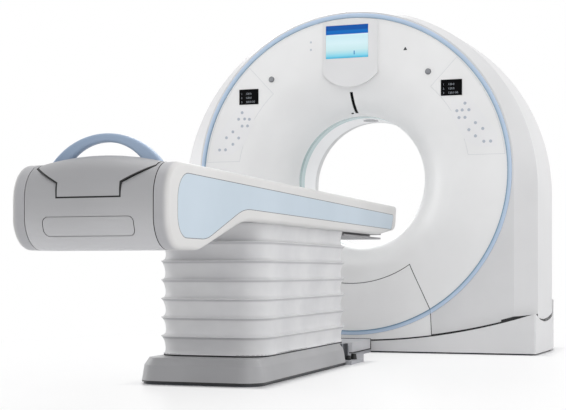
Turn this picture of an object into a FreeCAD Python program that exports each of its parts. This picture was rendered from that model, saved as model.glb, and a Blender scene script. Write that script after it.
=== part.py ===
import FreeCAD, Part
import Sketcher
import math
import os
from FreeCAD import Placement, Rotation, Vector

# Whole-body X-ray scanner with its patient couch. Millimetres, +Z up.
# Origin: on the floor, on the bore's centre plane (X = 0), at the gantry's front face (Y = 0).
# The bore runs along +Y, and the couch stands in front of the gantry, on the -Y side.

SIZES = [
    # gantry: heights, bore and faces
    ("iso_height", 1000, "bore axis above the floor"),
    ("tilt_y", 260, "tilt axis and scan plane behind the front face"),
    ("bore_rad", 390, "patient opening, 780 mm across"),
    ("wall", 8, "thickness of the moulded covers"),
    ("seam", 2.4, "gap between two covers"),
    ("mouth_rad", 680, "where the front bell leaves the flat face"),
    ("bell_deep", 250, "depth of the front bell"),
    ("window_wide", 42, "width of the scan window ring"),
    ("liner_end", 580, "rear end of the straight bore"),
    ("liner_wall", 6, "thickness of bore liner and scan window"),
    ("flare_rad", 560, "rear flare at the back face"),
    ("ring_rad", 905, "inner edge of the trim ring"),
    ("ring_wide", 25, "width of the trim ring"),
    ("ring_rise", 25, "centre of the trim ring above the bore axis"),
    ("ring_proud", 5, "trim ring in front of the face"),
    ("ring_edge", 3, "eased edge of the trim ring"),
    ("flange_deep", 6, "seat flange behind the trim ring"),
    # gantry: outer shell
    ("face_half", 940, "half width of the flat front"),
    ("arch_rad", 1062, "outer arch and half width of the shell behind the shoulder"),
    ("arch_drop", 75, "centre of that arch below the bore axis"),
    ("shoulder_deep", 80, "depth of the sloping front shoulder"),
    ("shell_back", 450, "rear edge of the side covers, where the shell is widest"),
    ("wide_rad", 1098, "arch and half width of the shell at its widest"),
    ("wide_drop", 95, "centre of the widest arch below the bore axis"),
    ("back_rad", 960, "arch of the back face"),
    ("gantry_deep", 860, "back face behind the front face"),
    # barrel surface between the tilting shell and the plinth
    ("barrel_low", 20, "middle of the swing gap above the floor at X = 0"),
    ("barrel_arc", 3660, "crown radius of the swing surface"),
    ("barrel_gap", 14, "gap between shell and plinth"),
    ("plinth_front", -45, "front face of the plinth"),
    ("plinth_back", 700, "rear face of the plinth"),
    ("plinth_tall", 330, "height that the plinth may reach"),
    ("plinth_round", 35, "corner radius of the plinth"),
    ("foot_thick", 8, "steel base plate"),
    ("anchor_rad", 9, "anchor bolt holes"),
    ("anchor_in", 5, "anchor holes inside the pillars' outer faces"),
    ("anchor_front", 60, "front anchor holes"),
    ("anchor_back", 600, "rear anchor holes"),
    # covers on the front
    ("low_rad", 607, "top edge of the lower front cover, about the bore axis"),
    ("low_top", 348, "half width of the lower cover at its top"),
    ("low_mid", 470, "half width of the lower cover at the trim ring"),
    ("low_knee", 757, "lower cover's knee below the bore axis"),
    ("low_foot", 481, "half width of the lower cover at its foot"),
    ("panel_rad", 695, "inner edge of the control panels, about the bore axis"),
    ("panel_low", 118, "lower edge of the control panels above the bore axis"),
    ("panel_x", 475, "upper corner of the control panels"),
    ("panel_z", 515, "upper corner above the bore axis"),
    ("ledge", 12, "width of the ledge that carries an inset cover"),
    ("readout_x", 608, "centre of a readout off the centre plane"),
    ("readout_rise", 500, "centre of a readout above the bore axis"),
    ("readout_off", -17, "both readouts off centre"),
    ("readout_wide", 120, "readout width"),
    ("readout_tall", 90, "readout height"),
    ("readout_thick", 5, "readout thickness"),
    ("readout_proud", 3, "readout in front of its panel"),
    ("key_rad", 9, "key dome radius"),
    ("key_proud", 1.2, "key dome height"),
    ("film_thick", 1, "membrane keypad thickness"),
    ("button_x", 470, "round button off the centre plane"),
    ("button_rise", 597, "round button above the bore axis"),
    ("button_off", -13, "both buttons off centre"),
    ("button_rad", 15, "round button radius"),
    ("button_proud", 7, "round button in front of the face"),
    ("button_long", 24, "round button length"),
    ("button_clear", 0.4, "round button to its hole"),
    ("bezel_half", 165, "screen bezel half width"),
    ("bezel_rise", 610, "where the bezel's rounded foot starts, above the bore axis"),
    ("bezel_bow", 79, "depth of the bezel's rounded foot"),
    ("bezel_thick", 10, "screen bezel thickness"),
    ("screen_x", -18, "centre of the screen"),
    ("screen_rise", 793, "centre of the screen above the bore axis"),
    ("screen_wide", 253, "screen width"),
    ("screen_tall", 190, "screen height"),
    ("screen_thick", 4, "screen thickness"),
    ("slot_wide", 14, "laser slot width"),
    ("slot_off", -8, "laser slot off centre"),
    ("slot_low", 402, "lower end of the laser slot above the bore axis"),
    ("slot_high", 506, "upper end of the laser slot above the bore axis"),
    # tilt frame and pillars
    ("frame_y", 470, "front face of the stationary frame plate"),
    ("frame_thick", 30, "frame plate thickness"),
    ("frame_rad", 895, "frame plate outer radius"),
    ("arm_thick", 65, "thickness of a trunnion arm"),
    ("arm_gap", 15, "trunnion arm to pillar"),
    ("arm_half", 95, "half height of a trunnion arm"),
    ("pin_rad", 45, "trunnion pin radius"),
    ("fit_clear", 0.05, "running fit of pins and shafts"),
    ("pillar_shift", 108, "outer face of a pillar inside the widest half of the shell"),
    ("pillar_thick", 45, "thickness of a pillar"),
    ("bracket_tall", 40, "height of the cover brackets at the sides"),
    ("bush_rad", 62, "outer radius of the trunnion bearing"),
    # rotor and its bearing and drive
    ("hub_in", 430, "rotor hub inner radius"),
    ("hub_out", 470, "rotor hub outer radius, seat of the inner race"),
    ("race_mid", 492, "bore of the outer race"),
    ("race_out", 520, "outer race outer radius, seat in the frame plate"),
    ("race_gap", 0.3, "running gap between the races"),
    ("race_y", 450, "front face of the races"),
    ("race_wide", 60, "width of the races"),
    ("disc_y", 420, "front face of the rotor disc"),
    ("disc_thick", 20, "rotor disc thickness"),
    ("rim_rad", 840, "rotor rim outer radius"),
    ("rim_wall", 12, "rotor rim thickness"),
    ("rim_y", 330, "front edge of the rotor rim"),
    ("hub_back", 552, "rear end of the rotor hub"),
    ("slip_y", 526, "front face of the slip ring"),
    ("slip_thick", 18, "slip ring thickness"),
    ("slip_rad", 575, "slip ring outer radius"),
    ("tube_high", 640, "tube axis above the bore axis"),
    ("tube_rad", 105, "X-ray tube housing radius"),
    ("tube_y", 150, "front end of the tube housing"),
    ("focus_high", 560, "focal spot above the bore axis"),
    ("arc_rad", 1000, "detector face from the focal spot"),
    ("arc_thick", 80, "detector module depth"),
    ("arc_half_deg", 24, "half of the fan angle"),
    ("fan_y", 215, "front face of detector and collimator"),
    ("colli_half", 130, "collimator half width"),
    ("colli_low", 430, "collimator foot above the bore axis"),
    ("unit_in", 440, "inner face of generator and cooler"),
    ("unit_out", 690, "outer face of generator and cooler"),
    ("unit_low", -60, "foot of generator and cooler from the bore axis"),
    ("unit_high", 260, "top of generator and cooler from the bore axis"),
    ("unit_y", 165, "front face of generator and cooler"),
    ("motor_far", 935, "drive motor axis from the bore axis"),
    ("pulley_rad", 55, "motor pulley radius"),
    ("pulley_wide", 40, "motor pulley width"),
    ("belt_y", 385, "front edge of the drive belt"),
    ("belt_wide", 30, "drive belt width"),
    ("belt_thick", 4, "drive belt thickness"),
    ("belt_gap", 0.3, "drive belt to rim and pulley"),
    ("shaft_rad", 15, "motor shaft radius"),
    ("motor_rad", 78, "drive motor radius"),
    ("motor_long", 140, "drive motor length"),
    # couch: base, column and bellows
    ("stand_y", -1595, "centre of the couch column"),
    ("base_half", 270, "couch base half width at the floor"),
    ("base_long", 1350, "couch base length at the floor"),
    ("base_y", -1655, "centre of the couch base"),
    ("base_slope", 32, "how far the skirt leans in"),
    ("cover_lift", 9, "base cover above the floor"),
    ("base_tall", 108, "couch base height"),
    ("base_round", 90, "couch base corner radius"),
    ("base_wall", 6, "couch base cover thickness"),
    ("base_plate", 15, "couch base plate thickness"),
    ("bolt_x", 190, "couch anchor holes off the centre plane"),
    ("bolt_y", 500, "couch anchor holes from the base centre"),
    ("stage_tall", 240, "height of each column stage"),
    ("stage_half_x", 150, "outer stage half width"),
    ("stage_half_y", 200, "outer stage half length"),
    ("stage_wall", 10, "column wall"),
    ("stage_clear", 0.5, "clearance between two stages"),
    ("stage_two_z", 155, "foot of the second stage"),
    ("stage_three_z", 288, "foot of the third stage"),
    ("bellows_half", 250, "bellows half width over the ridges"),
    ("bellows_long", 1300, "bellows length over the ridges"),
    ("bellows_y", -1555, "centre of the bellows"),
    ("bellows_round", 120, "bellows corner radius"),
    ("bellows_foot", 112, "foot of the bellows above the floor"),
    ("bellows_top", 663.7, "top of the bellows above the floor"),
    ("pleats", 7, "number of pleats"),
    ("pleat_deep", 26, "depth of a pleat"),
    ("bellows_wall", 14, "wall inside the valleys"),
    # couch: top
    ("couch_half", 290, "outer faces of the side panels"),
    ("panel_in", 240, "inner faces of the side panels"),
    ("panel_edge", 16, "rounding of the side panels"),
    ("top_z", 830, "top edge of the side panels"),
    ("beam_z", 661, "underside of the beam"),
    ("tip_y", -60, "front tip of the couch"),
    ("foot_y", -3262, "foot end of the couch"),
    ("foot_z", 534, "lowest point of the foot end"),
    ("foot_round", 122, "rounding of the foot end"),
    ("inset_deep", 3, "depth of the coloured side inset"),
    ("inset_gap", 1.2, "groove around the side inset"),
    ("trough_half", 224, "half width of the trough for the tabletop"),
    ("trough_low", 706, "channel floor at the foot end"),
    ("trough_knee", 755, "where the channel opens"),
    ("channel_half", 121, "half width of the channel"),
    ("trough_top", 811, "where the trough sides turn upright"),
    ("slide_clear", 2, "tabletop, cap and trough clearance"),
    ("frame_low", 664, "underside of the couch frame"),
    ("frame_floor", 26, "thickness of the couch frame's floor"),
    ("frame_wall", 13, "thickness of the couch frame's sides"),
    ("frame_top", 812, "top of the couch frame's sides"),
    ("frame_front", -230, "front end of the couch frame"),
    ("frame_back", -2900, "rear end of the couch frame"),
    ("table_low", 748, "underside of the tabletop"),
    ("table_dish", 780, "lowest point of the tabletop's dished face"),
    ("table_edge", 827, "edge of the tabletop"),
    ("table_front", -78, "front end of the tabletop"),
    ("cap_front", -2990, "front end of the foot cap"),
    ("roller_rad", 25, "tabletop roller radius"),
    ("roller_half", 118, "tabletop roller half length"),
    ("roller_gap", 0.3, "roller below the tabletop"),
    ("roller_pin", 8, "roller axle radius"),
    ("roller_front", -330, "front roller"),
    ("roller_back", -1180, "rear roller"),
    ("cap_crown", 27, "crown of the foot cap"),
    ("cap_clear", 4.5, "gap round the foot cap"),
    ("handle_half", 202, "push handle half width at its feet"),
    ("handle_tall", 93, "push handle height above its feet"),
    ("handle_hole", 136, "half width of the handle's opening"),
    ("handle_high", 63, "height of the handle's opening"),
    ("handle_deep", 34, "depth of the handle"),
    ("handle_y", -3118, "centre of the push handle"),
    ("under_half", 215, "plate under the beam, half width"),
    ("under_front", -140, "plate under the beam, front end"),
    ("under_back", -885, "plate under the beam, rear end"),
    # link between couch and gantry
    ("seat_clear", 0.3, "clearance of pieces that sit beside each other"),
    ("link_wide", 290, "floor plate half width at the couch"),
    ("link_narrow", 134, "floor plate half width at the gantry"),
    ("link_thick", 18, "floor plate thickness"),
    ("link_box_tall", 76, "top of the cable box above the floor"),
]


class Size:
    """A length with the sheet expression that gives it."""

    def __init__(self, value, text):
        self.value = float(value)
        self.text = text

    def join(self, other, sign, turn=False):
        a, b = self, size(other)
        if turn:
            a, b = b, a
        v = {"+": a.value + b.value, "-": a.value - b.value, "*": a.value * b.value}.get(sign)
        if sign == "/":
            v = a.value / b.value
        return Size(v, "(%s %s %s)" % (a.text, sign, b.text))

    def __add__(self, other):
        return self.join(other, "+")

    def __radd__(self, other):
        return self.join(other, "+", True)

    def __sub__(self, other):
        return self.join(other, "-")

    def __rsub__(self, other):
        return self.join(other, "-", True)

    def __mul__(self, other):
        return self.join(other, "*")

    def __rmul__(self, other):
        return self.join(other, "*", True)

    def __truediv__(self, other):
        return self.join(other, "/")

    def __neg__(self):
        return Size(-self.value, "(0 - %s)" % self.text)

    def __float__(self):
        return self.value


def size(x):
    return x if isinstance(x, Size) else Size(x, "(%.6f)" % float(x))


def root(x):
    x = size(x)
    return Size(math.sqrt(x.value), "sqrt(%s)" % x.text)


class Sheet:
    """Reads the named cells as Size values."""


doc = FreeCAD.newDocument("scanner")
cells = doc.addObject("Spreadsheet::Sheet", "Sizes")
S = Sheet()
for row, (name, value, note) in enumerate(SIZES, 1):
    cells.set("A%d" % row, name)
    cells.set("B%d" % row, str(value))
    cells.set("C%d" % row, note)
    cells.setAlias("B%d" % row, name)
doc.recompute()
for name, value, note in SIZES:
    setattr(S, name, Size(float(getattr(cells, name)), "Sizes.%s" % name))

S.ring_high = S.iso_height + S.ring_rise
S.arch_high = S.iso_height - S.arch_drop
S.wide_high = S.iso_height - S.wide_drop
S.barrel_rad = S.iso_height - S.barrel_low
S.low_mid_z = S.iso_height - S.low_knee
S.readout_z = S.iso_height + S.readout_rise
S.button_z = S.iso_height + S.button_rise
S.bezel_low = S.iso_height + S.bezel_rise
S.bezel_foot = S.bezel_low - S.bezel_bow
S.screen_z = S.iso_height + S.screen_rise
S.pillar_out = S.wide_rad - S.pillar_shift
S.pillar_in = S.pillar_out - S.pillar_thick
S.arm_out = S.pillar_in - S.arm_gap
S.arm_in = S.arm_out - S.arm_thick
S.anchor_x = S.pillar_out - S.anchor_in

NODES = {}


def keep(node, obj):
    obj.Label = node
    NODES[node] = obj
    return obj


def place(obj, x=0, y=0, z=0):
    """Put an object at a point, each coordinate bound to the sheet."""
    for axis, v in (("x", x), ("y", y), ("z", z)):
        v = size(v)
        obj.setExpression(".Placement.Base.%s" % axis, v.text)
    obj.Placement = Placement(
        Vector(size(x).value, size(y).value, size(z).value), obj.Placement.Rotation
    )


# ---------- sketches and features ----------


def new_body(label):
    body = doc.addObject("PartDesign::Body", "Body")
    body.Label = label
    return body


def plane_of(body, role):
    return [f for f in body.Origin.OriginFeatures if f.Role == role][0]


def new_sketch(body, plane, loops, level=0):
    """Closed loops of lines and three-point arcs, and circles, on one of the body's planes."""
    sk = body.newObject("Sketcher::SketchObject", "Sketch")
    sk.AttachmentSupport = [(plane_of(body, plane + "_Plane"), "")]
    sk.MapMode = "FlatFace"
    level = size(level)
    sk.AttachmentOffset = Placement(Vector(0, 0, level.value), Rotation())
    sk.setExpression(".AttachmentOffset.Base.z", level.text)
    for loop in loops:
        if loop[0] == "circle":
            add_circle(sk, loop)
        else:
            add_loop(sk, loop)
    return sk


def bind(sk, kind, geo, end, v):
    v = size(v)
    n = sk.addConstraint(Sketcher.Constraint(kind, -1, 1, geo, end, v.value))
    sk.setExpression("Constraints[%d]" % n, v.text)


def add_circle(sk, loop):
    cx, cy, r = [size(v) for v in loop[1:]]
    g = sk.addGeometry(Part.Circle(Vector(cx.value, cy.value, 0), Vector(0, 0, 1), r.value))
    n = sk.addConstraint(Sketcher.Constraint("Radius", g, r.value))
    sk.setExpression("Constraints[%d]" % n, r.text)
    bind(sk, "DistanceX", g, 3, cx)
    bind(sk, "DistanceY", g, 3, cy)


def add_loop(sk, loop):
    start = tuple(loop[0])
    here = start
    first = None
    steps = list(loop[1:]) + [start]
    geos = []
    for step in steps:
        end = tuple(step[-2:])
        a = Vector(size(here[0]).value, size(here[1]).value, 0)
        b = Vector(size(end[0]).value, size(end[1]).value, 0)
        if len(step) == 4:
            m = Vector(size(step[0]).value, size(step[1]).value, 0)
            forward = (m - a).cross(b - m).z > 0
            g = sk.addGeometry(Part.ArcOfCircle(a, m, b) if forward else Part.ArcOfCircle(b, m, a))
            geos.append((g, 1 if forward else 2, 2 if forward else 1, here))
        else:
            if (b - a).Length < 1e-6:
                continue
            g = sk.addGeometry(Part.LineSegment(a, b))
            geos.append((g, 1, 2, here))
        here = end
    for i, (g, head, tail, point) in enumerate(geos):
        nxt = geos[(i + 1) % len(geos)]
        sk.addConstraint(Sketcher.Constraint("Coincident", g, tail, nxt[0], nxt[1]))
        bind(sk, "DistanceX", g, head, point[0])
        bind(sk, "DistanceY", g, head, point[1])
    return first


def add_pad(body, plane, loops, level, length, back=False, taper=0):
    sk = new_sketch(body, plane, loops, level)
    pad = body.newObject("PartDesign::Pad", "Pad")
    pad.Profile = sk
    pad.Length = size(length).value
    pad.setExpression("Length", size(length).text)
    pad.Reversed = back
    pad.TaperAngle = taper
    return pad


def add_pocket(body, plane, loops, level, length, back=False):
    doc.recompute()
    before = body.Shape.Volume
    sk = new_sketch(body, plane, loops, level)
    cut = body.newObject("PartDesign::Pocket", "Pocket")
    cut.Profile = sk
    cut.Length = size(length).value
    cut.setExpression("Length", size(length).text)
    cut.Reversed = back
    doc.recompute()
    if not body.Shape.Volume < before - 1e-3:
        raise RuntimeError("a pocket of %s cuts nothing" % body.Label)
    return cut


def add_turn(body, plane, loops, axis):
    sk = new_sketch(body, plane, loops)
    rev = body.newObject("PartDesign::Revolution", "Revolution")
    rev.Profile = sk
    rev.ReferenceAxis = (sk, [axis])
    rev.Angle = 360
    return rev


def padded(node, plane, loops, level, length, back=False, at=(0, 0, 0)):
    """A body made by one pad, kept as a node."""
    body = new_body(node)
    add_pad(body, plane, loops, level, length, back)
    place(body, *at)
    return keep(node, body)


def rect(x0, x1, y0, y1):
    return [(x0, y0), (x1, y0), (x1, y1), (x0, y1)]


def soft_rect(x0, x1, y0, y1, r):
    """A rectangle with rounded corners."""
    x0, x1, y0, y1, r = [size(v) for v in (x0, x1, y0, y1, r)]
    k = r * (1 - math.sqrt(0.5))
    return [
        (x0 + r, y0),
        (x1 - r, y0),
        (x1 - k, y0 + k, x1, y0 + r),
        (x1, y1 - r),
        (x1 - k, y1 - k, x1 - r, y1),
        (x0 + r, y1),
        (x0 + k, y1 - k, x0, y1 - r),
        (x0, y0 + r),
        (x0 + k, y0 + k, x0 + r, y0),
    ]


# ---------- primitives and booleans ----------


def block(x0, x1, y0, y1, z0, z1):
    """A box between two corners, bound to the sheet."""
    obj = doc.addObject("Part::Box", "Block")
    for prop, a, b in (("Length", x0, x1), ("Width", y0, y1), ("Height", z0, z1)):
        v = size(b) - size(a)
        setattr(obj, prop, v.value)
        obj.setExpression(prop, v.text)
    place(obj, x0, y0, z0)
    return obj


def rod(x, y, z, axis, r, length):
    """A cylinder that starts at a point and runs along +X, +Y or +Z."""
    obj = doc.addObject("Part::Cylinder", "Rod")
    for prop, v in (("Radius", size(r)), ("Height", size(length))):
        setattr(obj, prop, v.value)
        obj.setExpression(prop, v.text)
    turn = {"X": Rotation(Vector(0, 1, 0), 90), "Y": Rotation(Vector(1, 0, 0), -90), "Z": Rotation()}
    obj.Placement = Placement(Vector(0, 0, 0), turn[axis])
    place(obj, x, y, z)
    return obj


def cut(base, tool):
    obj = doc.addObject("Part::Cut", "Cut")
    obj.Base = base
    obj.Tool = tool
    return obj


def fuse(*parts):
    obj = doc.addObject("Part::MultiFuse", "Fuse")
    obj.Shapes = list(parts)
    return obj


def common(base, tool):
    obj = doc.addObject("Part::Common", "Common")
    obj.Base = base
    obj.Tool = tool
    return obj


def formed(label, shape):
    obj = doc.addObject("Part::Feature", "Form")
    obj.Label = label
    obj.Shape = shape
    obj.Placement = Placement()
    return obj


def n(v):
    return size(v).value


# ---------- shapes made with Part's own functions ----------


def path(points, y):
    """Closed wire in a plane of constant Y: points (x, z), and arcs (xm, zm, x, z)."""
    here = points[0]
    edges = []
    for step in list(points[1:]) + [points[0]]:
        a = Vector(n(here[0]), n(y), n(here[1]))
        b = Vector(n(step[-2]), n(y), n(step[-1]))
        if len(step) == 4:
            edges.append(Part.Arc(a, Vector(n(step[0]), n(y), n(step[1])), b).toShape())
        elif (b - a).Length > 1e-6:
            edges.append(Part.LineSegment(a, b).toShape())
        here = step[-2:]
    return Part.Wire(edges)


def prism(points, y0, y1, grow=0.0):
    face = Part.Face(path(points, y0))
    if grow:
        face = face.makeOffset2D(grow)
    return face.extrude(Vector(0, n(y1) - n(y0), 0))


def disc(r, z, y0, y1):
    return Part.makeCylinder(n(r), n(y1) - n(y0), Vector(0, n(y0), n(z)), Vector(0, 1, 0))


def arch_wire(half, centre, y, foot):
    half, centre = n(half), n(centre)
    return path([(-half, foot), (-half, centre), (0, centre + half, half, centre), (half, foot)], y)


def horn(a0, b0, a1, b1, centre_r, centre_y, side):
    """Shell between two quarter ellipses turned about the bore axis; side is -1 for the front."""

    def quarter(a, b):
        c = Vector(centre_r, centre_y, 0)
        e = Part.Ellipse(c + Vector(-max(a, b), 0, 0), c + Vector(0, min(a, b), 0), c)
        if a < b:
            e = Part.Ellipse(c + Vector(0, side * b, 0), c + Vector(-a, 0, 0), c)
            arc = Part.ArcOfEllipse(e, 0, math.pi / 2).toShape()
        else:
            e = Part.Ellipse(c + Vector(-a, 0, 0), c + Vector(0, side * b, 0), c)
            arc = Part.ArcOfEllipse(e, 0, math.pi / 2).toShape()
        return arc, c + Vector(-a, 0, 0), c + Vector(0, side * b, 0)

    arc0, p0, q0 = quarter(a0, b0)
    arc1, p1, q1 = quarter(a1, b1)
    wire = Part.Wire(
        Part.__sortEdges__(
            [arc0, Part.LineSegment(q0, q1).toShape(), arc1, Part.LineSegment(p1, p0).toShape()]
        )
    )
    solid = Part.Face(wire).revolve(Vector(0, 0, 0), Vector(0, 1, 0), 360)
    if solid.ShapeType != "Solid":
        solid = Part.Solid(solid) if solid.ShapeType == "Shell" else solid
    solid.translate(Vector(0, 0, n(S.iso_height)))
    return solid


def barrel(grow):
    """Swing surface about the tilt axis, wider or narrower than the middle of the gap."""
    w = n(S.wide_rad) + 60
    r0 = n(S.barrel_rad) + grow
    rw = r0 - (n(S.barrel_arc) - math.sqrt(n(S.barrel_arc) ** 2 - w * w))
    edges = [
        Part.LineSegment(Vector(-w, 0, 0), Vector(w, 0, 0)).toShape(),
        Part.LineSegment(Vector(w, 0, 0), Vector(w, rw, 0)).toShape(),
        Part.Arc(Vector(w, rw, 0), Vector(0, r0, 0), Vector(-w, rw, 0)).toShape(),
        Part.LineSegment(Vector(-w, rw, 0), Vector(-w, 0, 0)).toShape(),
    ]
    solid = Part.Face(Part.Wire(edges)).revolve(Vector(0, 0, 0), Vector(1, 0, 0), 360)
    solid.translate(Vector(0, n(S.tilt_y), n(S.iso_height)))
    return solid


def box(x0, x1, y0, y1, z0, z1):
    x0, x1, y0, y1, z0, z1 = [n(v) for v in (x0, x1, y0, y1, z0, z1)]
    return Part.makeBox(x1 - x0, y1 - y0, z1 - z0, Vector(x0, y0, z0))


def mirrored(shape):
    return shape.mirror(Vector(0, 0, 0), Vector(1, 0, 0))


# ---------- gantry covers ----------

FAR = 1300.0


def shell_keep():
    """What of the tilting shell clears the plinth when it tilts."""
    upper = box(-FAR, FAR, -200, FAR, S.iso_height, 2 * FAR)
    return barrel(-n(S.barrel_gap) / 2).fuse(upper)


def lower_outline():
    iso = S.iso_height
    top = iso - root(S.low_rad * S.low_rad - S.low_top * S.low_top)
    return [
        (-S.low_top, top),
        (0, iso - S.low_rad, S.low_top, top),
        (S.low_mid, S.low_mid_z),
        (S.low_foot, 20),
        (-S.low_foot, 20),
        (-S.low_mid, S.low_mid_z),
    ]


def panel_outline():
    """Right control panel; the outer edge is cut by the trim ring."""
    iso, r = S.iso_height, S.panel_rad
    bottom_x = root(r * r - S.panel_low * S.panel_low)
    top_x = S.panel_x * n(r) / math.hypot(n(S.panel_x), n(S.panel_z))
    top_z = S.panel_z * n(r) / math.hypot(n(S.panel_x), n(S.panel_z))
    mid = math.atan2(n(top_z), n(top_x)) / 2 + math.atan2(n(S.panel_low), n(bottom_x)) / 2
    far = FAR
    return [
        (bottom_x, iso + S.panel_low),
        (r * math.cos(mid), iso + r * math.sin(mid), top_x, iso + top_z),
        (n(top_x) + far * 0.683, n(iso) + n(top_z) + far * 0.730),
        (far, n(iso) + n(top_z) + far * 0.730),
        (far, iso + S.panel_low),
    ]


def face_skin(shift=0.0):
    """Flat face inside the trim ring with the bell down to the bore."""
    w = n(S.wall)
    flat = disc(S.ring_rad - 0.5, S.ring_high, 0, w).cut(disc(S.mouth_rad, S.iso_height, -5, w + 5))
    a, b = n(S.mouth_rad - S.bore_rad), n(S.bell_deep)
    bell = horn(a, b, a - w, b - w, n(S.mouth_rad), b, -1)
    skin = flat.fuse(bell)
    if shift:
        skin.translate(Vector(0, shift, 0))
    return skin


def seat_flange():
    """Annulus behind the trim ring that joins face and surround."""
    y0, y1 = n(S.wall), n(S.wall + S.flange_deep)
    outer = disc(S.ring_rad + S.ring_wide + 5.5, S.ring_high, y0, y1)
    return outer.cut(disc(S.ring_rad - 12, S.ring_high, y0 - 5, y1 + 5))


def surround_skin():
    """Sloping shoulder between the flat front and the outer arch."""
    deep, w = n(S.shoulder_deep), n(S.wall)
    outer = Part.makeLoft(
        [
            arch_wire(S.face_half, S.ring_high, 0, 0),
            arch_wire(S.arch_rad, S.arch_high, deep, 0),
        ],
        True,
        True,
    )
    inner = Part.makeLoft(
        [
            arch_wire(S.face_half - 4, S.ring_high, w, -1),
            arch_wire(S.arch_rad - S.wall, S.arch_high, deep, -1),
        ],
        True,
        True,
    )
    return outer.cut(inner).cut(disc(S.ring_rad + S.ring_wide + 0.5, S.ring_high, -20, w + 0.01))


def inset_ledge(points, skin_shifted, gap):
    """Strip behind a seam: joined to the outer cover, just clear of the inner one."""
    width = n(S.ledge)
    wide = prism(points, -30, 120, width)
    strip = skin_shifted.common(wide.cut(prism(points, -40, 130, -width)))
    joint = face_skin(n(S.wall) - 1).common(wide.cut(prism(points, -40, 130, gap)))
    return strip.fuse(joint)


def gantry_covers():
    half_seam = n(S.seam) / 2
    w = n(S.wall)
    keep_zone = shell_keep()
    skin = face_skin()
    back_skin = face_skin(w + 0.5)
    flange = seat_flange()
    surround = surround_skin()
    low = lower_outline()
    panel = panel_outline()
    inner_ring = disc(S.ring_rad - 8, S.ring_high, -30, 130)
    low_big = prism(low, -40, 130, half_seam)
    low_small = prism(low, -40, 130, -half_seam)
    panel_big = prism(panel, -40, 130, half_seam).common(inner_ring)
    panel_zone = disc(S.ring_rad - 8 - S.seam, S.ring_high, -30, 130)
    panel_small = prism(panel, -40, 130, -half_seam).common(panel_zone)
    # ledges that carry the lower cover and the two control panels
    low_zone = disc(S.ring_rad - 13, S.ring_high, -30, 130)
    low_ledge = inset_ledge(low, back_skin, half_seam + 0.4).common(low_zone)
    panel_ledge = prism(panel, w, w + 5, n(S.ledge)).cut(prism(panel, w - 1, w + 6, -n(S.ledge)))
    panel_ledge = panel_ledge.common(disc(S.ring_rad - 13, S.ring_high, 0, 60))
    front = skin.fuse(flange.cut(low_big))
    for region in (low_big, panel_big, mirrored(panel_big)):
        front = front.cut(region)
    front = front.fuse([low_ledge, panel_ledge, mirrored(panel_ledge)])
    # openings for the buttons and the laser slot
    for side in (-1, 1):
        hole = Part.makeCylinder(
            n(S.button_rad + S.button_clear),
            60,
            Vector(side * n(S.button_x) + n(S.button_off), -20, n(S.button_z)),
            Vector(0, 1, 0),
        )
        front = front.cut(hole)
    half_slot = n(S.slot_wide) / 2
    mid = n(S.slot_off)
    slot = box(
        mid - half_slot,
        mid + half_slot,
        -20,
        300,
        S.iso_height + S.slot_low,
        S.iso_height + S.slot_high,
    )
    front = front.cut(slot)
    front = front.common(keep_zone)
    keep("front_cover", formed("front_cover", biggest(front)))
    a, b = n(S.mouth_rad - S.bore_rad) - 2, n(S.bell_deep) - 2
    glass = horn(a, b, a - w + 2, b - w + 2, n(S.mouth_rad), n(S.bell_deep), -1)
    narrow = box(
        mid - half_slot + 0.4,
        mid + half_slot - 0.4,
        -20,
        300,
        S.iso_height + S.slot_low + 0.4,
        S.iso_height + S.slot_high - 0.4,
    )
    keep("laser_window", formed("laser_window", biggest(glass.common(narrow))))
    # lower cover: face, flange and surround in one moulding
    low_cover = skin.fuse([flange, surround]).common(low_small).common(keep_zone)
    keep("lower_front_cover", formed("lower_front_cover", biggest(low_cover)))
    outer = surround.cut(low_big).common(keep_zone)
    keep("front_surround", formed("front_surround", biggest(outer)))
    for name, shape in (("right", panel_small), ("left", mirrored(panel_small))):
        sign = 1 if name == "right" else -1
        plate = shape.common(box(-FAR, FAR, 0, w, 0, 2 * FAR))
        x = sign * n(S.readout_x) + n(S.readout_off)
        hw, hh = n(S.readout_wide) / 2 + 0.5, n(S.readout_tall) / 2 + 0.5
        deep = n(S.readout_thick - S.readout_proud) + 0.2
        plate = plate.cut(box(x - hw, x + hw, -5, deep, S.readout_z - hh, S.readout_z + hh))
        node = "%s_control_panel" % name
        keep(node, formed(node, biggest(plate)))
    # trim ring, parted where the lower cover comes off
    near, far = n(S.ring_rad), n(S.ring_rad + S.ring_wide)
    front, edge = -n(S.ring_proud), n(S.ring_edge)
    high = Vector(0, 0, n(S.ring_high))
    corners = [
        (near, w),
        (near, front + edge),
        (near + edge * 0.3, front + edge * 0.3),
        (near + edge, front),
        (far - edge, front),
        (far - edge * 0.3, front + edge * 0.3),
        (far, front + edge),
        (far, w),
    ]
    wire = Part.makePolygon([high + Vector(x, y, 0) for x, y in corners + corners[:1]])
    ring = Part.Face(wire).revolve(high, Vector(0, 1, 0), 360)
    keep("upper_trim_ring", formed("upper_trim_ring", biggest(ring.cut(low_big))))
    keep("lower_trim_ring", formed("lower_trim_ring", biggest(ring.common(low_small))))


def biggest(shape):
    """The largest solid of a shape, with its seams merged."""
    solids = sorted(shape.Solids, key=lambda s: s.Volume)
    return solids[-1].removeSplitter()


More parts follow.
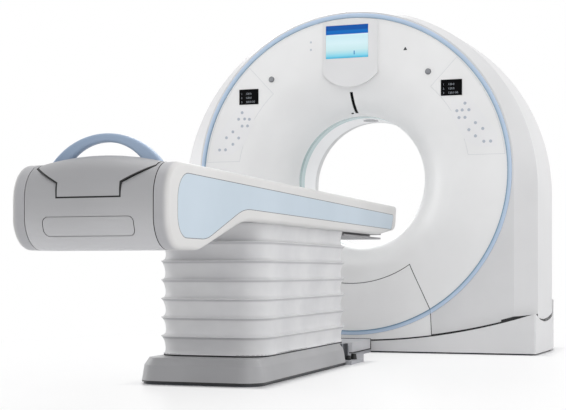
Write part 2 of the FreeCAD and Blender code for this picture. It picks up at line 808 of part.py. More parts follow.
def outer_shell():
    keep_zone = shell_keep()
    deep, back, w = n(S.shoulder_deep), n(S.shell_back), n(S.wall)
    whole = Part.makeLoft(
        [arch_wire(S.arch_rad, S.arch_high, deep, 0), arch_wire(S.wide_rad, S.wide_high, back, 0)],
        True,
        True,
    )
    hollow = Part.makeLoft(
        [
            arch_wire(S.arch_rad - S.wall, S.arch_high, deep, -1),
            arch_wire(S.wide_rad - S.wall, S.wide_high, back, -1),
        ],
        True,
        True,
    )
    wrap = whole.cut(hollow).common(keep_zone)
    s = n(S.seam) / 2
    right = wrap.common(box(s, 2 * FAR, -50, 2 * FAR, -50, 2 * FAR))
    left = wrap.common(box(-2 * FAR, -s, -50, 2 * FAR, -50, 2 * FAR))
    keep("right_side_cover", formed("right_side_cover", biggest(right)))
    keep("left_side_cover", formed("left_side_cover", biggest(left)))
    end = n(S.gantry_deep)
    outer = Part.makeLoft(
        [arch_wire(S.wide_rad, S.wide_high, back, 0), arch_wire(S.back_rad, S.wide_high, end, 0)],
        True,
        True,
    )
    inner = Part.makeLoft(
        [
            arch_wire(S.wide_rad - S.wall, S.wide_high, back, -1),
            arch_wire(S.back_rad - S.wall * 1.2, S.wide_high, end - w, -1),
        ],
        True,
        True,
    )
    rear = outer.cut(inner).cut(disc(S.flare_rad, S.iso_height, end - 3 * w, end + 5))
    a, b = n(S.flare_rad - S.bore_rad), end - n(S.liner_end)
    flare = horn(a, b, a - w, b - w, n(S.flare_rad), n(S.liner_end), 1)
    lip = disc(S.flare_rad + 2, S.iso_height, end - w, end)
    lip = lip.cut(disc(S.flare_rad - 1, S.iso_height, end - 2 * w, end + 2))
    rear = rear.fuse([flare, lip]).common(keep_zone)
    keep("rear_cover", formed("rear_cover", biggest(rear)))


def front_fittings():
    face_y = 0.0
    half = S.bezel_half
    r_top = S.ring_rad - 6
    outline = [
        (-half, S.bezel_low),
        (-half, n(S.ring_high + S.ring_rad)),
        (half, n(S.ring_high + S.ring_rad)),
        (half, S.bezel_low),
        (0, S.bezel_foot, -half, S.bezel_low),
    ]
    plate = prism(outline, -S.bezel_thick, face_y)
    plate = plate.common(disc(r_top, S.ring_high, -50, 50))
    hw, hh = n(S.screen_wide) / 2, n(S.screen_tall) / 2
    x, z = n(S.screen_x), n(S.screen_z)
    seat = box(x - hw - 0.8, x + hw + 0.8, -50, -S.bezel_thick + 1 + S.screen_thick, z - hh - 0.8, z + hh + 0.8)
    plate = plate.cut(seat)
    keep("screen_bezel", formed("screen_bezel", biggest(plate)))
    y = -S.bezel_thick + 1
    keep(
        "status_screen",
        block(
            S.screen_x - S.screen_wide / 2,
            S.screen_x + S.screen_wide / 2,
            y,
            y + S.screen_thick,
            S.screen_z - S.screen_tall / 2,
            S.screen_z + S.screen_tall / 2,
        ),
    )
    for name, sign in (("left", -1), ("right", 1)):
        cx = S.readout_x * sign + S.readout_off
        keep(
            "%s_readout" % name,
            block(
                cx - S.readout_wide / 2,
                cx + S.readout_wide / 2,
                -S.readout_proud,
                S.readout_thick - S.readout_proud,
                S.readout_z - S.readout_tall / 2,
                S.readout_z + S.readout_tall / 2,
            ),
        )
        node = "%s_button" % name
        body = new_body(node)
        turn = [
            (0, -S.button_proud),
            (S.button_rad - 2, -S.button_proud),
            (S.button_rad, -S.button_proud + 2),
            (S.button_rad, S.button_long - S.button_proud),
            (0, S.button_long - S.button_proud),
        ]
        add_turn(body, "XY", [turn], "V_Axis")
        place(body, S.button_x * sign + S.button_off, 0, S.button_z)
        keep(node, body)
        keypad(name, sign)


KEYS = [
    (668, 408),
    (652, 370),
    (622, 367),
    (690, 370),
    (634, 328),
    (668, 328),
    (727, 296),
    (690, 258),
    (768, 262),
    (727, 222),
    (774, 190),
    (812, 190),
]


def keypad(name, sign):
    """Membrane keypad: one film with low domes under the readout."""
    axis = n(S.iso_height)
    outline = [(590, 438), (700, 438), (848, 240), (848, 160), (740, 160), (668, 200), (590, 340)]
    outline = [(sign * x, axis + z) for x, z in outline]
    film = prism(outline, -S.film_thick, 0)
    upright = [e for e in film.Edges if abs(e.Vertexes[0].Y - e.Vertexes[-1].Y) > 0.5]
    film = film.makeFillet(14.0, upright)
    for x, z in KEYS:
        dome = Part.makeCone(
            n(S.key_rad),
            n(S.key_rad) - 1.5,
            n(S.key_proud),
            Vector(sign * x, -n(S.film_thick), axis + z),
            Vector(0, -1, 0),
        )
        film = film.fuse(dome)
    node = "%s_keypad" % name
    keep(node, formed(node, biggest(film)))


def bore_parts():
    front = S.bell_deep
    mid = S.bell_deep + S.window_wide
    for node, y0, y1 in (("scan_window", front, mid), ("bore_liner", mid, S.liner_end)):
        body = new_body(node)
        r0, r1 = S.bore_rad, S.bore_rad + S.liner_wall
        add_turn(body, "XY", [rect(r0, r1, y0, y1)], "V_Axis")
        place(body, 0, 0, S.iso_height)
        keep(node, body)


# ---------- base, pillars and tilt frame ----------


def plinth_plan(inset):
    """Plan of the plinth: its sides follow the shell, widest at the side covers' rear edge."""
    front, wide = n(S.arch_rad) + 5 - inset, n(S.wide_rad) + 4 - inset
    y0, y1 = n(S.plinth_front) + inset, n(S.plinth_back) - inset
    r = n(S.plinth_round) - inset
    mid = n(S.shell_back)
    return rounded(
        [
            (-front, y0, 14),
            (front, y0, 14),
            (wide, mid, 600),
            (wide - 22, y1, r),
            (-wide + 22, y1, r),
            (-wide, mid, 600),
        ]
    )


def gantry_base():
    plate = new_body("gantry_base_plate")
    holes = []
    for x in (-S.anchor_x, S.anchor_x):
        for y in (S.anchor_front, S.anchor_back):
            holes.append(("circle", x, y, S.anchor_rad))
    add_pad(plate, "XY", [plinth_plan(12)] + holes, 0, S.foot_thick)
    place(plate)
    keep("gantry_base_plate", plate)
    outer = Part.Face(flat_wire(plinth_plan(0), S.foot_thick))
    outer = outer.extrude(Vector(0, 0, n(S.plinth_tall - S.foot_thick)))
    w = S.wall
    inner = Part.Face(flat_wire(plinth_plan(n(w)), 0))
    inner = inner.extrude(Vector(0, 0, n(S.plinth_tall) + 50))
    gap = n(S.barrel_gap) / 2
    cover = outer.cut(barrel(gap))
    cover = cover.cut(inner.cut(barrel(gap + n(w))))
    for sign in (-1, 1):
        a, b = sorted((sign * (n(S.pillar_in) - 6), sign * (n(S.pillar_out) + 6)))
        y_foot = n(S.tilt_y)
        cover = cover.cut(box(a, b, y_foot + 65, y_foot + 215, 0, 600))
    keep("plinth_cover", formed("plinth_cover", biggest(cover)))
    bushes = [pillar("left", -1), pillar("right", 1)]
    pair = doc.addObject("Part::Compound", "Bushes")
    pair.Links = bushes
    keep("trunnion_bearings", pair)


def flat_wire(points, z):
    here = points[0]
    edges = []
    for step in list(points[1:]) + [points[0]]:
        a = Vector(n(here[0]), n(here[1]), n(z))
        b = Vector(n(step[-2]), n(step[-1]), n(z))
        if len(step) == 4:
            edges.append(Part.Arc(a, Vector(n(step[0]), n(step[1]), n(z)), b).toShape())
        elif (b - a).Length > 1e-6:
            edges.append(Part.LineSegment(a, b).toShape())
        here = step[-2:]
    return Part.Wire(edges)


def pillar(name, sign):
    """Side pillar: a thick plate that leans back, clear of the shell at both ends of the tilt."""
    node = "%s_pillar" % name
    body = new_body(node)
    z = S.foot_thick - S.iso_height
    outline = [
        (-100, 110),
        (125, 110),
        (200, -830),
        (200, z),
        (80, z),
        (90, -830),
        (-100, -300),
    ]
    level = S.pillar_in if sign > 0 else -S.pillar_out
    bore = ("circle", 0, 0, S.bush_rad)
    add_pad(body, "YZ", [outline, bore], level, S.pillar_out - S.pillar_in)
    place(body, 0, S.tilt_y, S.iso_height)
    keep(node, body)
    bush = new_body("bush")
    ring = [("circle", 0, 0, S.bush_rad), ("circle", 0, 0, S.pin_rad + S.fit_clear)]
    add_pad(bush, "YZ", ring, level, S.pillar_out - S.pillar_in)
    place(bush, 0, S.tilt_y, S.iso_height)
    return bush


def tilt_frame():
    iso = S.iso_height
    y0 = S.frame_y
    plate = rod(0, y0, iso, "Y", S.frame_rad, S.frame_thick)
    a = math.radians(225)
    mx, mz = S.motor_far * math.cos(a), S.motor_far * math.sin(a)
    lobe = rod(mx, y0, iso + mz, "Y", S.motor_rad + 25, S.frame_thick)
    pieces = [plate, lobe]
    for sign in (-1, 1):
        x0, x1 = (S.arm_in, S.arm_out) if sign > 0 else (-S.arm_out, -S.arm_in)
        pieces.append(
            block(x0, x1, S.tilt_y - 75, y0 + S.frame_thick, iso - S.arm_half, iso + S.arm_half)
        )
        pin_x = S.arm_out - 5 if sign > 0 else -S.pillar_out
        pieces.append(rod(pin_x, S.tilt_y, iso, "X", S.pin_rad, S.pillar_out - S.arm_out + 5))
    # brackets that carry the covers: one at each side and one at the top
    back = y0 + S.frame_thick
    run = (back - S.shell_back) / (S.gantry_deep - S.wall - S.shell_back)
    inner_half = S.wide_rad - S.wall - (S.wide_rad - S.back_rad + S.wall * 0.2) * run
    tall = S.bracket_tall
    reach = root(inner_half * inner_half - tall * tall) - S.seat_clear
    pieces.append(block(S.arm_out - 5, reach, y0, back, S.wide_high, S.wide_high + tall))
    pieces.append(block(-reach, -S.arm_out + 5, y0, back, S.wide_high, S.wide_high + tall))
    crest = S.wide_high + inner_half - S.seat_clear - 2.2
    pieces.append(block(-60, 60, y0, back, iso + S.frame_rad - 10, crest))
    whole = fuse(*pieces)
    seat = rod(0, y0 - 20, iso, "Y", S.race_out, S.frame_thick + 40)
    shaft = rod(mx, y0 - 20, iso + mz, "Y", S.shaft_rad + 12, S.frame_thick + 40)
    keep("tilt_frame", cut(cut(whole, seat), shaft))


# ---------- rotor ----------


def rotor():
    iso = S.iso_height
    body = new_body("rotor_drum")
    y0, y1 = S.disc_y, S.disc_y + S.disc_thick
    rim = S.rim_rad - S.rim_wall
    profile = [
        (S.hub_in, y0),
        (rim, y0),
        (rim, S.rim_y),
        (S.rim_rad, S.rim_y),
        (S.rim_rad, y1),
        (S.hub_out, y1),
        (S.hub_out, S.hub_back),
        (S.hub_in, S.hub_back),
    ]
    add_turn(body, "XY", [profile], "V_Axis")
    doc.recompute()
    hole = add_pocket(body, "XZ", [("circle", 0, -700, 55)], -y0 + 5, S.disc_thick + 10)
    pattern = body.newObject("PartDesign::PolarPattern", "Holes")
    pattern.Originals = [hole]
    pattern.Axis = (plane_axis(body, "Y_Axis"), [""])
    pattern.Angle = 360
    pattern.Occurrences = 4
    body.Tip = pattern
    place(body, 0, 0, iso)
    keep("rotor_drum", body)
    race("bearing_inner_race", S.hub_out, S.race_mid - S.race_gap)
    race("bearing_outer_race", S.race_mid, S.race_out)
    slip = new_body("slip_ring")
    y = S.slip_y
    add_turn(
        slip,
        "XY",
        [
            [
                (S.hub_out, y),
                (S.slip_rad, y),
                (S.slip_rad, y + S.slip_thick / 2),
                (S.slip_rad - 40, y + S.slip_thick / 2),
                (S.slip_rad - 40, y + S.slip_thick),
                (S.hub_out, y + S.slip_thick),
            ]
        ],
        "V_Axis",
    )
    place(slip, 0, 0, iso)
    keep("slip_ring", slip)
    # tube housing with stepped ends, seated on the disc
    tube = new_body("xray_tube")
    r = S.tube_rad
    profile = [
        (0, S.tube_y - S.disc_y),
        (r * 0.55, S.tube_y - S.disc_y),
        (r * 0.55, S.tube_y - S.disc_y + 30),
        (r, S.tube_y - S.disc_y + 55),
        (r, -60),
        (r * 0.72, -30),
        (r * 0.72, 0),
        (0, 0),
    ]
    add_turn(tube, "XY", [profile], "V_Axis")
    place(tube, 0, S.disc_y, iso + S.tube_high)
    keep("xray_tube", tube)
    top = S.tube_high - S.tube_rad - 1
    colli = padded(
        "collimator",
        "XZ",
        [
            [
                (-S.colli_half, S.colli_low),
                (S.colli_half, S.colli_low),
                (S.colli_half * 0.55, top),
                (-S.colli_half * 0.55, top),
            ]
        ],
        -S.disc_y,
        S.disc_y - S.fan_y,
        at=(0, 0, iso),
    )
    a = math.radians(n(S.arc_half_deg))
    r0, r1 = S.arc_rad, S.arc_rad + S.arc_thick
    f = S.focus_high
    arc = [
        (r0 * -math.sin(a), f - r0 * math.cos(a)),
        (0, f - r0, r0 * math.sin(a), f - r0 * math.cos(a)),
        (r1 * math.sin(a), f - r1 * math.cos(a)),
        (0, f - r1, r1 * -math.sin(a), f - r1 * math.cos(a)),
    ]
    padded("detector_arc", "XZ", [arc], -S.disc_y, S.disc_y - S.fan_y, at=(0, 0, iso))
    for node, sign in (("high_voltage_generator", 1), ("tube_cooler", -1)):
        x0, x1 = (S.unit_in, S.unit_out) if sign > 0 else (-S.unit_out, -S.unit_in)
        body = new_body(node)
        add_pad(
            body,
            "XZ",
            [rect(x0, x1, S.unit_low, S.unit_high)],
            -S.disc_y,
            S.disc_y - S.unit_y,
        )
        mid = (S.unit_in + S.unit_out) / 2 * sign
        if sign < 0:
            # fan openings in the cooler's front
            loops = [
                ("circle", mid, S.unit_low + 85, 60),
                ("circle", mid, S.unit_high - 85, 60),
            ]
        else:
            loops = [
                rect(mid - 80, mid + 80, S.unit_low + 40 + 60 * i, S.unit_low + 70 + 60 * i)
                for i in range(4)
            ]
        add_pocket(body, "XZ", loops, -S.unit_y + 1, 31)
        place(body, 0, 0, iso)
        keep(node, body)


def plane_axis(body, role):
    return [f for f in body.Origin.OriginFeatures if f.Role == role][0]


def race(node, r0, r1):
    body = new_body(node)
    add_turn(body, "XY", [rect(r0, r1, S.race_y, S.race_y + S.race_wide)], "V_Axis")
    place(body, 0, 0, S.iso_height)
    return keep(node, body)


def rotor_drive():
    """Motor on the frame's lobe, its pulley, and the flat belt round the rotor rim."""
    iso = S.iso_height
    a = math.radians(225)
    mx, mz = S.motor_far * math.cos(a), S.motor_far * math.sin(a)
    y0 = S.belt_y + S.belt_wide / 2 - S.pulley_wide / 2
    y1 = y0 + S.pulley_wide
    end = S.frame_y + S.frame_thick + 55
    body = new_body("motor_pulley")
    flange = S.pulley_rad + 7
    profile = [
        (0, y0),
        (flange, y0),
        (flange, y0 + 4),
        (S.pulley_rad, y0 + 4),
        (S.pulley_rad, y1 - 4),
        (flange, y1 - 4),
        (flange, y1),
        (S.shaft_rad, y1),
        (S.shaft_rad, end),
        (0, end),
    ]
    add_turn(body, "XY", [profile], "V_Axis")
    place(body, mx, 0, iso + mz)
    keep("motor_pulley", body)
    motor = new_body("drive_motor")
    my = S.frame_y + S.frame_thick
    profile = [
        (S.shaft_rad + S.fit_clear, my),
        (S.motor_rad, my),
        (S.motor_rad, my + S.motor_long - 10),
        (S.motor_rad - 10, my + S.motor_long),
        (0, my + S.motor_long),
        (0, my + 57),
        (S.shaft_rad + S.fit_clear, my + 57),
    ]
    add_turn(motor, "XY", [profile], "V_Axis")
    place(motor, mx, 0, iso + mz)
    keep("drive_motor", motor)
    inner = belt_face(n(S.rim_rad + S.belt_gap), n(S.pulley_rad + S.belt_gap))
    outer = belt_face(
        n(S.rim_rad + S.belt_gap + S.belt_thick), n(S.pulley_rad + S.belt_gap + S.belt_thick)
    )
    wide = Vector(0, n(S.belt_wide), 0)
    belt = outer.extrude(wide).cut(inner.extrude(wide))
    keep("drive_belt", formed("drive_belt", biggest(belt)))


def belt_face(big, small):
    """Face bounded by two circles and their outer tangents."""
    far = n(S.motor_far)
    toward = math.radians(225)
    swing = math.acos((big - small) / far)
    y = n(S.belt_y)
    iso = n(S.iso_height)
    cx, cz = far * math.cos(toward), iso + far * math.sin(toward)

    def at(x, z, r, angle):
        return (x + r * math.cos(angle), z + r * math.sin(angle))

    points = [
        at(0, iso, big, toward + swing),
        at(0, iso, big, toward + math.pi) + at(0, iso, big, toward - swing),
        at(cx, cz, small, toward - swing),
        at(cx, cz, small, toward) + at(cx, cz, small, toward + swing),
    ]
    return Part.Face(path(points, y))


# ---------- couch stand ----------


def couch_stand():
    yc = S.base_y
    half, long = S.base_half, S.base_long / 2
    body = new_body("couch_base_plate")
    holes = []
    for x in (-S.bolt_x, S.bolt_x):
        for y in (yc - S.bolt_y, yc + S.bolt_y):
            holes.append(("circle", x, y, S.anchor_rad))
    inset = S.base_wall + S.base_slope * 0.0525 + S.seat_clear
    outline = soft_rect(
        -half + inset, half - inset, yc - long + inset, yc + long - inset, S.base_round - inset
    )
    add_pad(body, "XY", [outline] + holes, 0, S.base_plate)
    place(body)
    keep("couch_base_plate", body)

    def ring(grow, z):
        return flat_wire(
            soft_rect(
                -half - grow, half + grow, yc - long - grow, yc + long + grow, S.base_round + grow
            ),
            z,
        )

    slope, w = n(S.base_slope), n(S.base_wall)
    low, top = n(S.cover_lift), n(S.base_tall)
    outer = Part.makeLoft([ring(0, low), ring(-slope * 0.35, top * 0.72), ring(-slope, top)], True, True)
    hollow = [ring(-w, low - 1), ring(-slope * 0.35 - w, top * 0.72), ring(-slope - w, top - w)]
    inner = Part.makeLoft(hollow, True, True)
    cover = outer.cut(inner)
    yc = S.stand_y
    hx, hy = S.stage_half_x + 12, S.stage_half_y + 12
    cover = cover.cut(box(-hx, hx, yc - hy, yc + hy, 20, 300))
    keep("couch_base_cover", formed("couch_base_cover", biggest(cover)))
    # four nested column stages; the last one is part of the couch frame
    step = S.stage_wall + S.stage_clear
    places = (S.base_plate, S.stage_two_z, S.stage_three_z)
    for i, (node, z) in enumerate(
        zip(("column_outer", "column_stage_two", "column_stage_three"), places)
    ):
        hx, hy = S.stage_half_x - step * i, S.stage_half_y - step * i
        w = S.stage_wall
        outer = rect(-hx, hx, yc - hy, yc + hy)
        inner = rect(-hx + w, hx - w, yc - hy + w, yc + hy - w)
        padded(node, "XY", [outer, inner], z, S.stage_tall)
    bellows()


def bellows():
    """Pleated sleeve: sharp ridges outward, hollow valleys between them."""
    yc = n(S.bellows_y)
    half, long = n(S.bellows_half), n(S.bellows_long) / 2
    low, top = n(S.bellows_foot), n(S.bellows_top)
    count = int(round(n(S.pleats)))
    pitch = (top - low) / count

    def ring(inward, z):
        r = n(S.bellows_round) - inward * 0.6
        return flat_wire(
            soft_rect(-half + inward, half - inward, yc - long + inward, yc + long - inward, r), z
        )

    sections = [ring(n(S.pleat_deep) * 0.85, low)]
    for i in range(count):
        z = low + pitch * i
        for part, share in ((0.18, 0.55), (0.34, 0.0), (0.42, 0.38), (0.62, 0.85), (0.82, 1.0)):
            sections.append(ring(n(S.pleat_deep) * share, z + pitch * part))
        if i < count - 1:
            sections.append(ring(n(S.pleat_deep) * 0.85, z + pitch))
    sections.append(ring(n(S.pleat_deep) * 0.85, top))
    outer = Part.makeLoft(sections, True, True)
    inset = n(S.pleat_deep) + n(S.bellows_wall)
    inner = Part.Face(ring(inset, low - 1)).extrude(Vector(0, 0, top - low + 2))
    keep("bellows", formed("bellows", biggest(outer.cut(inner))))


# ---------- couch top ----------


def rounded(corners):
    """Loop of lines and tangent arcs from corners (a, b, radius)."""
    pts = [(n(a), n(b), n(r)) for a, b, r in corners]
    loop = []
    for i, (a, b, r) in enumerate(pts):
        p, q = pts[i - 1], pts[(i + 1) % len(pts)]
        u = Vector(p[0] - a, p[1] - b, 0).normalize()
        v = Vector(q[0] - a, q[1] - b, 0).normalize()
        half = u.getAngle(v) / 2
        reach = r / math.tan(half)
        corner = Vector(a, b, 0)
        start, end = corner + u * reach, corner + v * reach
        middle = corner + (u + v).normalize() * (r / math.sin(half) - r)
        if i == 0:
            first = (start.x, start.y)
            loop.append(first)
        else:
            loop.append((start.x, start.y))
        loop.append((middle.x, middle.y, end.x, end.y))
    return loop


def couch_outline():
    """Side outline (y, z): straight top, S-curve underside, rounded foot end, blunt tip."""
    top, low = S.top_z, S.beam_z
    tip, foot, drum = S.tip_y, S.foot_y, S.foot_z
    return rounded(
        [
            (foot, top, S.foot_round),
            (tip, top, 14),
            (tip - 28, top - 133, 62),
            (tip - 380, low, 300),
            (foot + 738, low - 4, 780),
            (foot + 283, drum, 300),
            (foot, drum, S.foot_round - 12),
        ]
    )


def inset_outline(grow):
    """Coloured inset of a side panel (y, z)."""
    g = grow
    top, tip, foot, drum = S.top_z - 36 + g, S.tip_y, S.foot_y + 82 - g, S.foot_z + 40 - g
    low = S.beam_z + 35 - g
    return rounded(
        [
            (foot, top, 92),
            (tip - 83 + g, top - 15, 10),
            (tip - 130 + g, low, 24),
            (S.foot_y + 716, low + 3, 460),
            (S.foot_y + 339, drum, 280),
            (foot, drum, 74),
        ]
    )


def side_panels():
    for name, sign in (("left", -1), ("right", 1)):
        node = "%s_side_panel" % name
        body = new_body(node)
        thick = S.couch_half - S.panel_in
        level = S.panel_in if sign > 0 else -S.couch_half
        add_pad(body, "YZ", [couch_outline()], level, thick)
        doc.recompute()
        outer = n(S.couch_half) * sign
        edges = [
            "Edge%d" % (i + 1)
            for i, e in enumerate(body.Tip.Shape.Edges)
            if abs(e.BoundBox.XMin - outer) < 0.01 and abs(e.BoundBox.XMax - outer) < 0.01
        ]
        fil = body.newObject("PartDesign::Fillet", "Rounding")
        fil.Base = (pad_of(body), edges)
        fil.Radius = n(S.panel_edge)
        fil.setExpression("Radius", S.panel_edge.text)
        doc.recompute()
        face = S.couch_half - S.inset_deep if sign > 0 else -S.couch_half
        add_pocket(body, "YZ", [inset_outline(0)], face, S.inset_deep, back=True)
        place(body)
        keep(node, body)
        node = "%s_side_inset" % name
        inset = new_body(node)
        add_pad(inset, "YZ", [inset_outline(-S.inset_gap)], face, S.inset_deep)
        place(inset)
        keep(node, inset)


def pad_of(body):
    return [o for o in body.Group if o.TypeId == "PartDesign::Pad"][-1]


def side_profile(points, x0, x1):
    """Solid between two X planes from an outline (y, z)."""
    here = points[0]
    edges = []
    for step in list(points[1:]) + [points[0]]:
        a = Vector(n(x0), n(here[0]), n(here[1]))
        b = Vector(n(x0), n(step[-2]), n(step[-1]))
        if len(step) == 4:
            edges.append(Part.Arc(a, Vector(n(x0), n(step[0]), n(step[1])), b).toShape())
        elif (b - a).Length > 1e-6:
            edges.append(Part.LineSegment(a, b).toShape())
        here = step[-2:]
    return Part.Face(Part.Wire(edges)).extrude(Vector(n(x1) - n(x0), 0, 0))


def trough(shrink, y0, y1):
    """Section of the channel in which the tabletop and its foot cap run."""
    c, t = S.channel_half - shrink, S.trough_half - shrink
    low, knee, top = S.trough_low + shrink, S.trough_knee + shrink, S.trough_top + shrink
    points = [
        (-c, low),
        (c, low),
        (c, knee),
        (t, top),
        (t, S.top_z + 170),
        (-t, S.top_z + 170),
        (-t, top),
        (-c, knee),
    ]
    return prism(points, y0, y1)


def couch_top():
    side_panels()
    half = n(S.panel_in) - 0.5
    # frame: a folded channel with a nose block, cross-member and the last column stage
    x, w = S.panel_in - 0.5, S.frame_wall
    low, floor, top = S.frame_low, S.frame_low + S.frame_floor, S.frame_top
    u = [
        (-x, low),
        (x, low),
        (x, top),
        (x - w, top),
        (x - w, floor),
        (-x + w, floor),
        (-x + w, top),
        (-x, top),
    ]
    channel = new_body("couch_channel")
    add_pad(channel, "XZ", [u], -S.frame_front, S.frame_front - S.frame_back)
    place(channel)
    yc, step = S.stand_y, S.stage_wall + S.stage_clear
    hx, hy = S.stage_half_x - step * 3, S.stage_half_y - step * 3
    w2 = S.stage_wall
    foot = S.frame_low - S.stage_tall + 3
    last = new_body("column_last")
    add_pad(
        last,
        "XY",
        [rect(-hx, hx, yc - hy, yc + hy), rect(-hx + w2, hx - w2, yc - hy + w2, yc + hy - w2)],
        foot,
        low + 4 - foot,
    )
    place(last)
    nose = formed("nose", nose_block())
    body = fuse(channel, last, nose)
    for y in (S.roller_front, S.roller_back):
        z = S.table_low - S.roller_gap - S.roller_rad
        hole = rod(-S.panel_in - 5, y, z, "X", S.roller_pin + S.fit_clear, S.panel_in * 2 + 10)
        body = cut(body, hole)
    keep("couch_frame", body)
    for node, y in (("front_roller", S.roller_front), ("rear_roller", S.roller_back)):
        roller = new_body(node)
        e = S.panel_in - 6
        r, p = S.roller_rad, S.roller_pin
        b = S.roller_half
        profile = [(-e, 0), (e, 0), (e, p), (b, p), (b, r), (-b, r), (-b, p), (-e, p)]
        add_turn(roller, "XY", [profile], "H_Axis")
        place(roller, 0, y, S.table_low - S.roller_gap - S.roller_rad)
        keep(node, roller)
    # foot end housing with the channel for the foot cap
    drum = side_profile(couch_outline(), -half, half)
    drum = drum.common(box(-FAR, FAR, S.foot_y - 50, -2330, 0, FAR))
    drum = drum.cut(box(-FAR, FAR, S.frame_back - 0.5, 0, S.frame_low - 0.5, FAR))
    drum = drum.cut(trough(0, S.foot_y - 60, 0))
    for x0, x1 in ((-half - 1, -half + 2.4), (half - 2.4, half + 1)):
        band = side_profile(couch_outline(), x0, x1)
        inner = band.copy()
        inner.scale(0.94, Vector((x0 + x1) / 2, n(S.foot_y) + 152, n(S.foot_z) + 148))
        groove = band.cut(inner).common(box(x0, x1, S.foot_y - 10, S.foot_y + 150, 0, FAR))
        drum = drum.cut(groove)
    # service hatch outline, a shallow groove in the foot face
    frame = soft_rect(-172, 168, 578, 645, 22)
    hatch = prism(frame, -3400, -3100)
    core = prism(frame, -3400, -3100, -2.4)
    shallow = side_profile(couch_outline(), -half, half)
    shallow.translate(Vector(0, 5, 0))
    drum = drum.cut(hatch.cut(core).cut(shallow))
    keep("foot_end_housing", formed("foot_end_housing", biggest(drum)))
    cap = crowned_block().common(trough(n(S.cap_clear), S.foot_y - 60, S.cap_front))
    keep("foot_cap", formed("foot_cap", biggest(cap)))
    tabletop()
    handle()
    body = fuse(
        block(-S.under_half, S.under_half, S.under_back, S.under_front, S.frame_low - 22, S.frame_low - 12),
        block(
            -S.under_half + 45,
            S.under_half - 45,
            S.under_back + 60,
            S.under_front - 60,
            S.frame_low - 13,
            S.frame_low,
        ),
    )
    keep("underside_plate", body)


def nose_block():
    """Rounded block between the side panels under the tabletop's front end."""
    half = n(S.panel_in) - 0.5
    solid = side_profile(couch_outline(), -half, half)
    solid = solid.common(box(-FAR, FAR, S.frame_front - 30, FAR, S.frame_low, S.table_low - 6))
    return biggest(solid)


def tabletop():
    x = S.trough_half - S.slide_clear
    low, edge, dish = S.table_low, S.table_edge, S.table_dish
    rise = S.trough_top + 3 - low
    c = x - rise * ((S.trough_half - S.channel_half) / (S.trough_top - S.trough_knee))
    profile = [
        (-c, low),
        (c, low),
        (x, S.trough_top + 3),
        (x, edge),
        (x - 12, edge),
        (0, dish, -x + 12, edge),
        (-x, edge),
        (-x, S.trough_top + 3),
    ]
    padded("tabletop", "XZ", [profile], -S.table_front, S.table_front - S.cap_front)


def crowned_block():
    """Block with a crowned top and the couch's rounded foot, from which the foot cap is cut."""
    t, top, crest = n(S.trough_half), n(S.top_z), n(S.top_z + S.cap_crown)
    y0, y1 = n(S.foot_y), n(S.cap_front)
    low = n(S.trough_low) - 110
    block_top = prism([(-t, low), (-t, top), (0, crest, t, top), (t, low)], y0, y1)
    edge = [e for e in block_top.Edges if e.BoundBox.YMax < y0 + 0.1 and e.BoundBox.ZMax > crest - 1]
    edge = [e for e in edge if e.BoundBox.ZMin > top - 1]
    return block_top.makeFillet(n(S.foot_round), edge)


def bow(half, tall, base, y0, y1):
    """Upright disc whose arc has that half width and height above its base line."""
    r = (half * half + tall * tall) / (2 * tall)
    return disc(r, base + tall - r, y0, y1)


def handle():
    """Arched push handle that stands on the foot cap."""
    y0 = n(S.handle_y) - n(S.handle_deep) / 2
    y1 = y0 + n(S.handle_deep)
    foot = n(S.handle_half) - 35
    base = n(S.top_z) + n(S.cap_crown) * (1 - (foot / n(S.trough_half)) ** 2)
    bar = bow(n(S.handle_half), n(S.handle_tall), base, y0, y1)
    bar = bar.cut(bow(n(S.handle_hole), n(S.handle_high), base, y0 - 5, y1 + 5))
    bar = bar.makeFillet(9.0, [e for e in bar.Edges if e.BoundBox.YLength < 0.01])
    bar = bar.common(box(-FAR, FAR, y0 - 9, y1 + 9, S.top_z - 8, FAR))
    keep("push_handle", formed("push_handle", biggest(bar.cut(crowned_block()))))


# ---------- link between couch and gantry ----------


def link():
    couch_end = S.base_y + S.base_long / 2
    gantry_end = S.plinth_front
    outline = [
        (-S.link_wide, couch_end - 45),
        (S.link_wide, couch_end - 45),
        (S.link_wide, couch_end + 190),
        (S.link_narrow, gantry_end - 160),
        (S.link_narrow, gantry_end - S.seat_clear),
        (-S.link_narrow, gantry_end - S.seat_clear),
        (-S.link_narrow, gantry_end - 160),
        (-S.link_wide, couch_end + 190),
    ]
    plate = formed("link_sheet", Part.Face(flat_wire(outline, 0)).extrude(Vector(0, 0, n(S.link_thick))))
    clear = formed("link_clear", couch_clearance())
    keep("link_floor_plate", cut(plate, clear))
    t = S.link_thick
    side = [
        (gantry_end - S.seat_clear, t),
        (gantry_end - S.seat_clear, S.link_box_tall),
        (gantry_end - 250, S.link_box_tall),
        (gantry_end - 375, t + 22),
        (gantry_end - 375, t),
    ]
    padded("cable_box", "YZ", [side], -S.link_narrow, S.link_narrow * 2)
    bracket = fuse(
        block(-230, 230, couch_end + 1, couch_end + 22, t, 100),
        block(196, 214, couch_end + 15, couch_end + 185, t, 82),
        block(-214, -196, couch_end + 15, couch_end + 185, t, 82),
        rod(-214, couch_end + 150, 58, "X", 11, 428),
    )
    keep("link_bracket", bracket)


def couch_clearance():
    """Space that the couch base skirt takes, with a small gap."""
    c = S.seat_clear
    half, long = S.base_half + c, S.base_long / 2 + c
    yc = S.base_y
    ring = soft_rect(-half, half, yc - long, yc + long, S.base_round + c)
    return Part.Face(flat_wire(ring, -5)).extrude(Vector(0, 0, 60))


gantry_base()
tilt_frame()
gantry_covers()
outer_shell()
front_fittings()
bore_parts()
rotor()
rotor_drive()
couch_stand()
couch_top()
link()
doc.recompute()

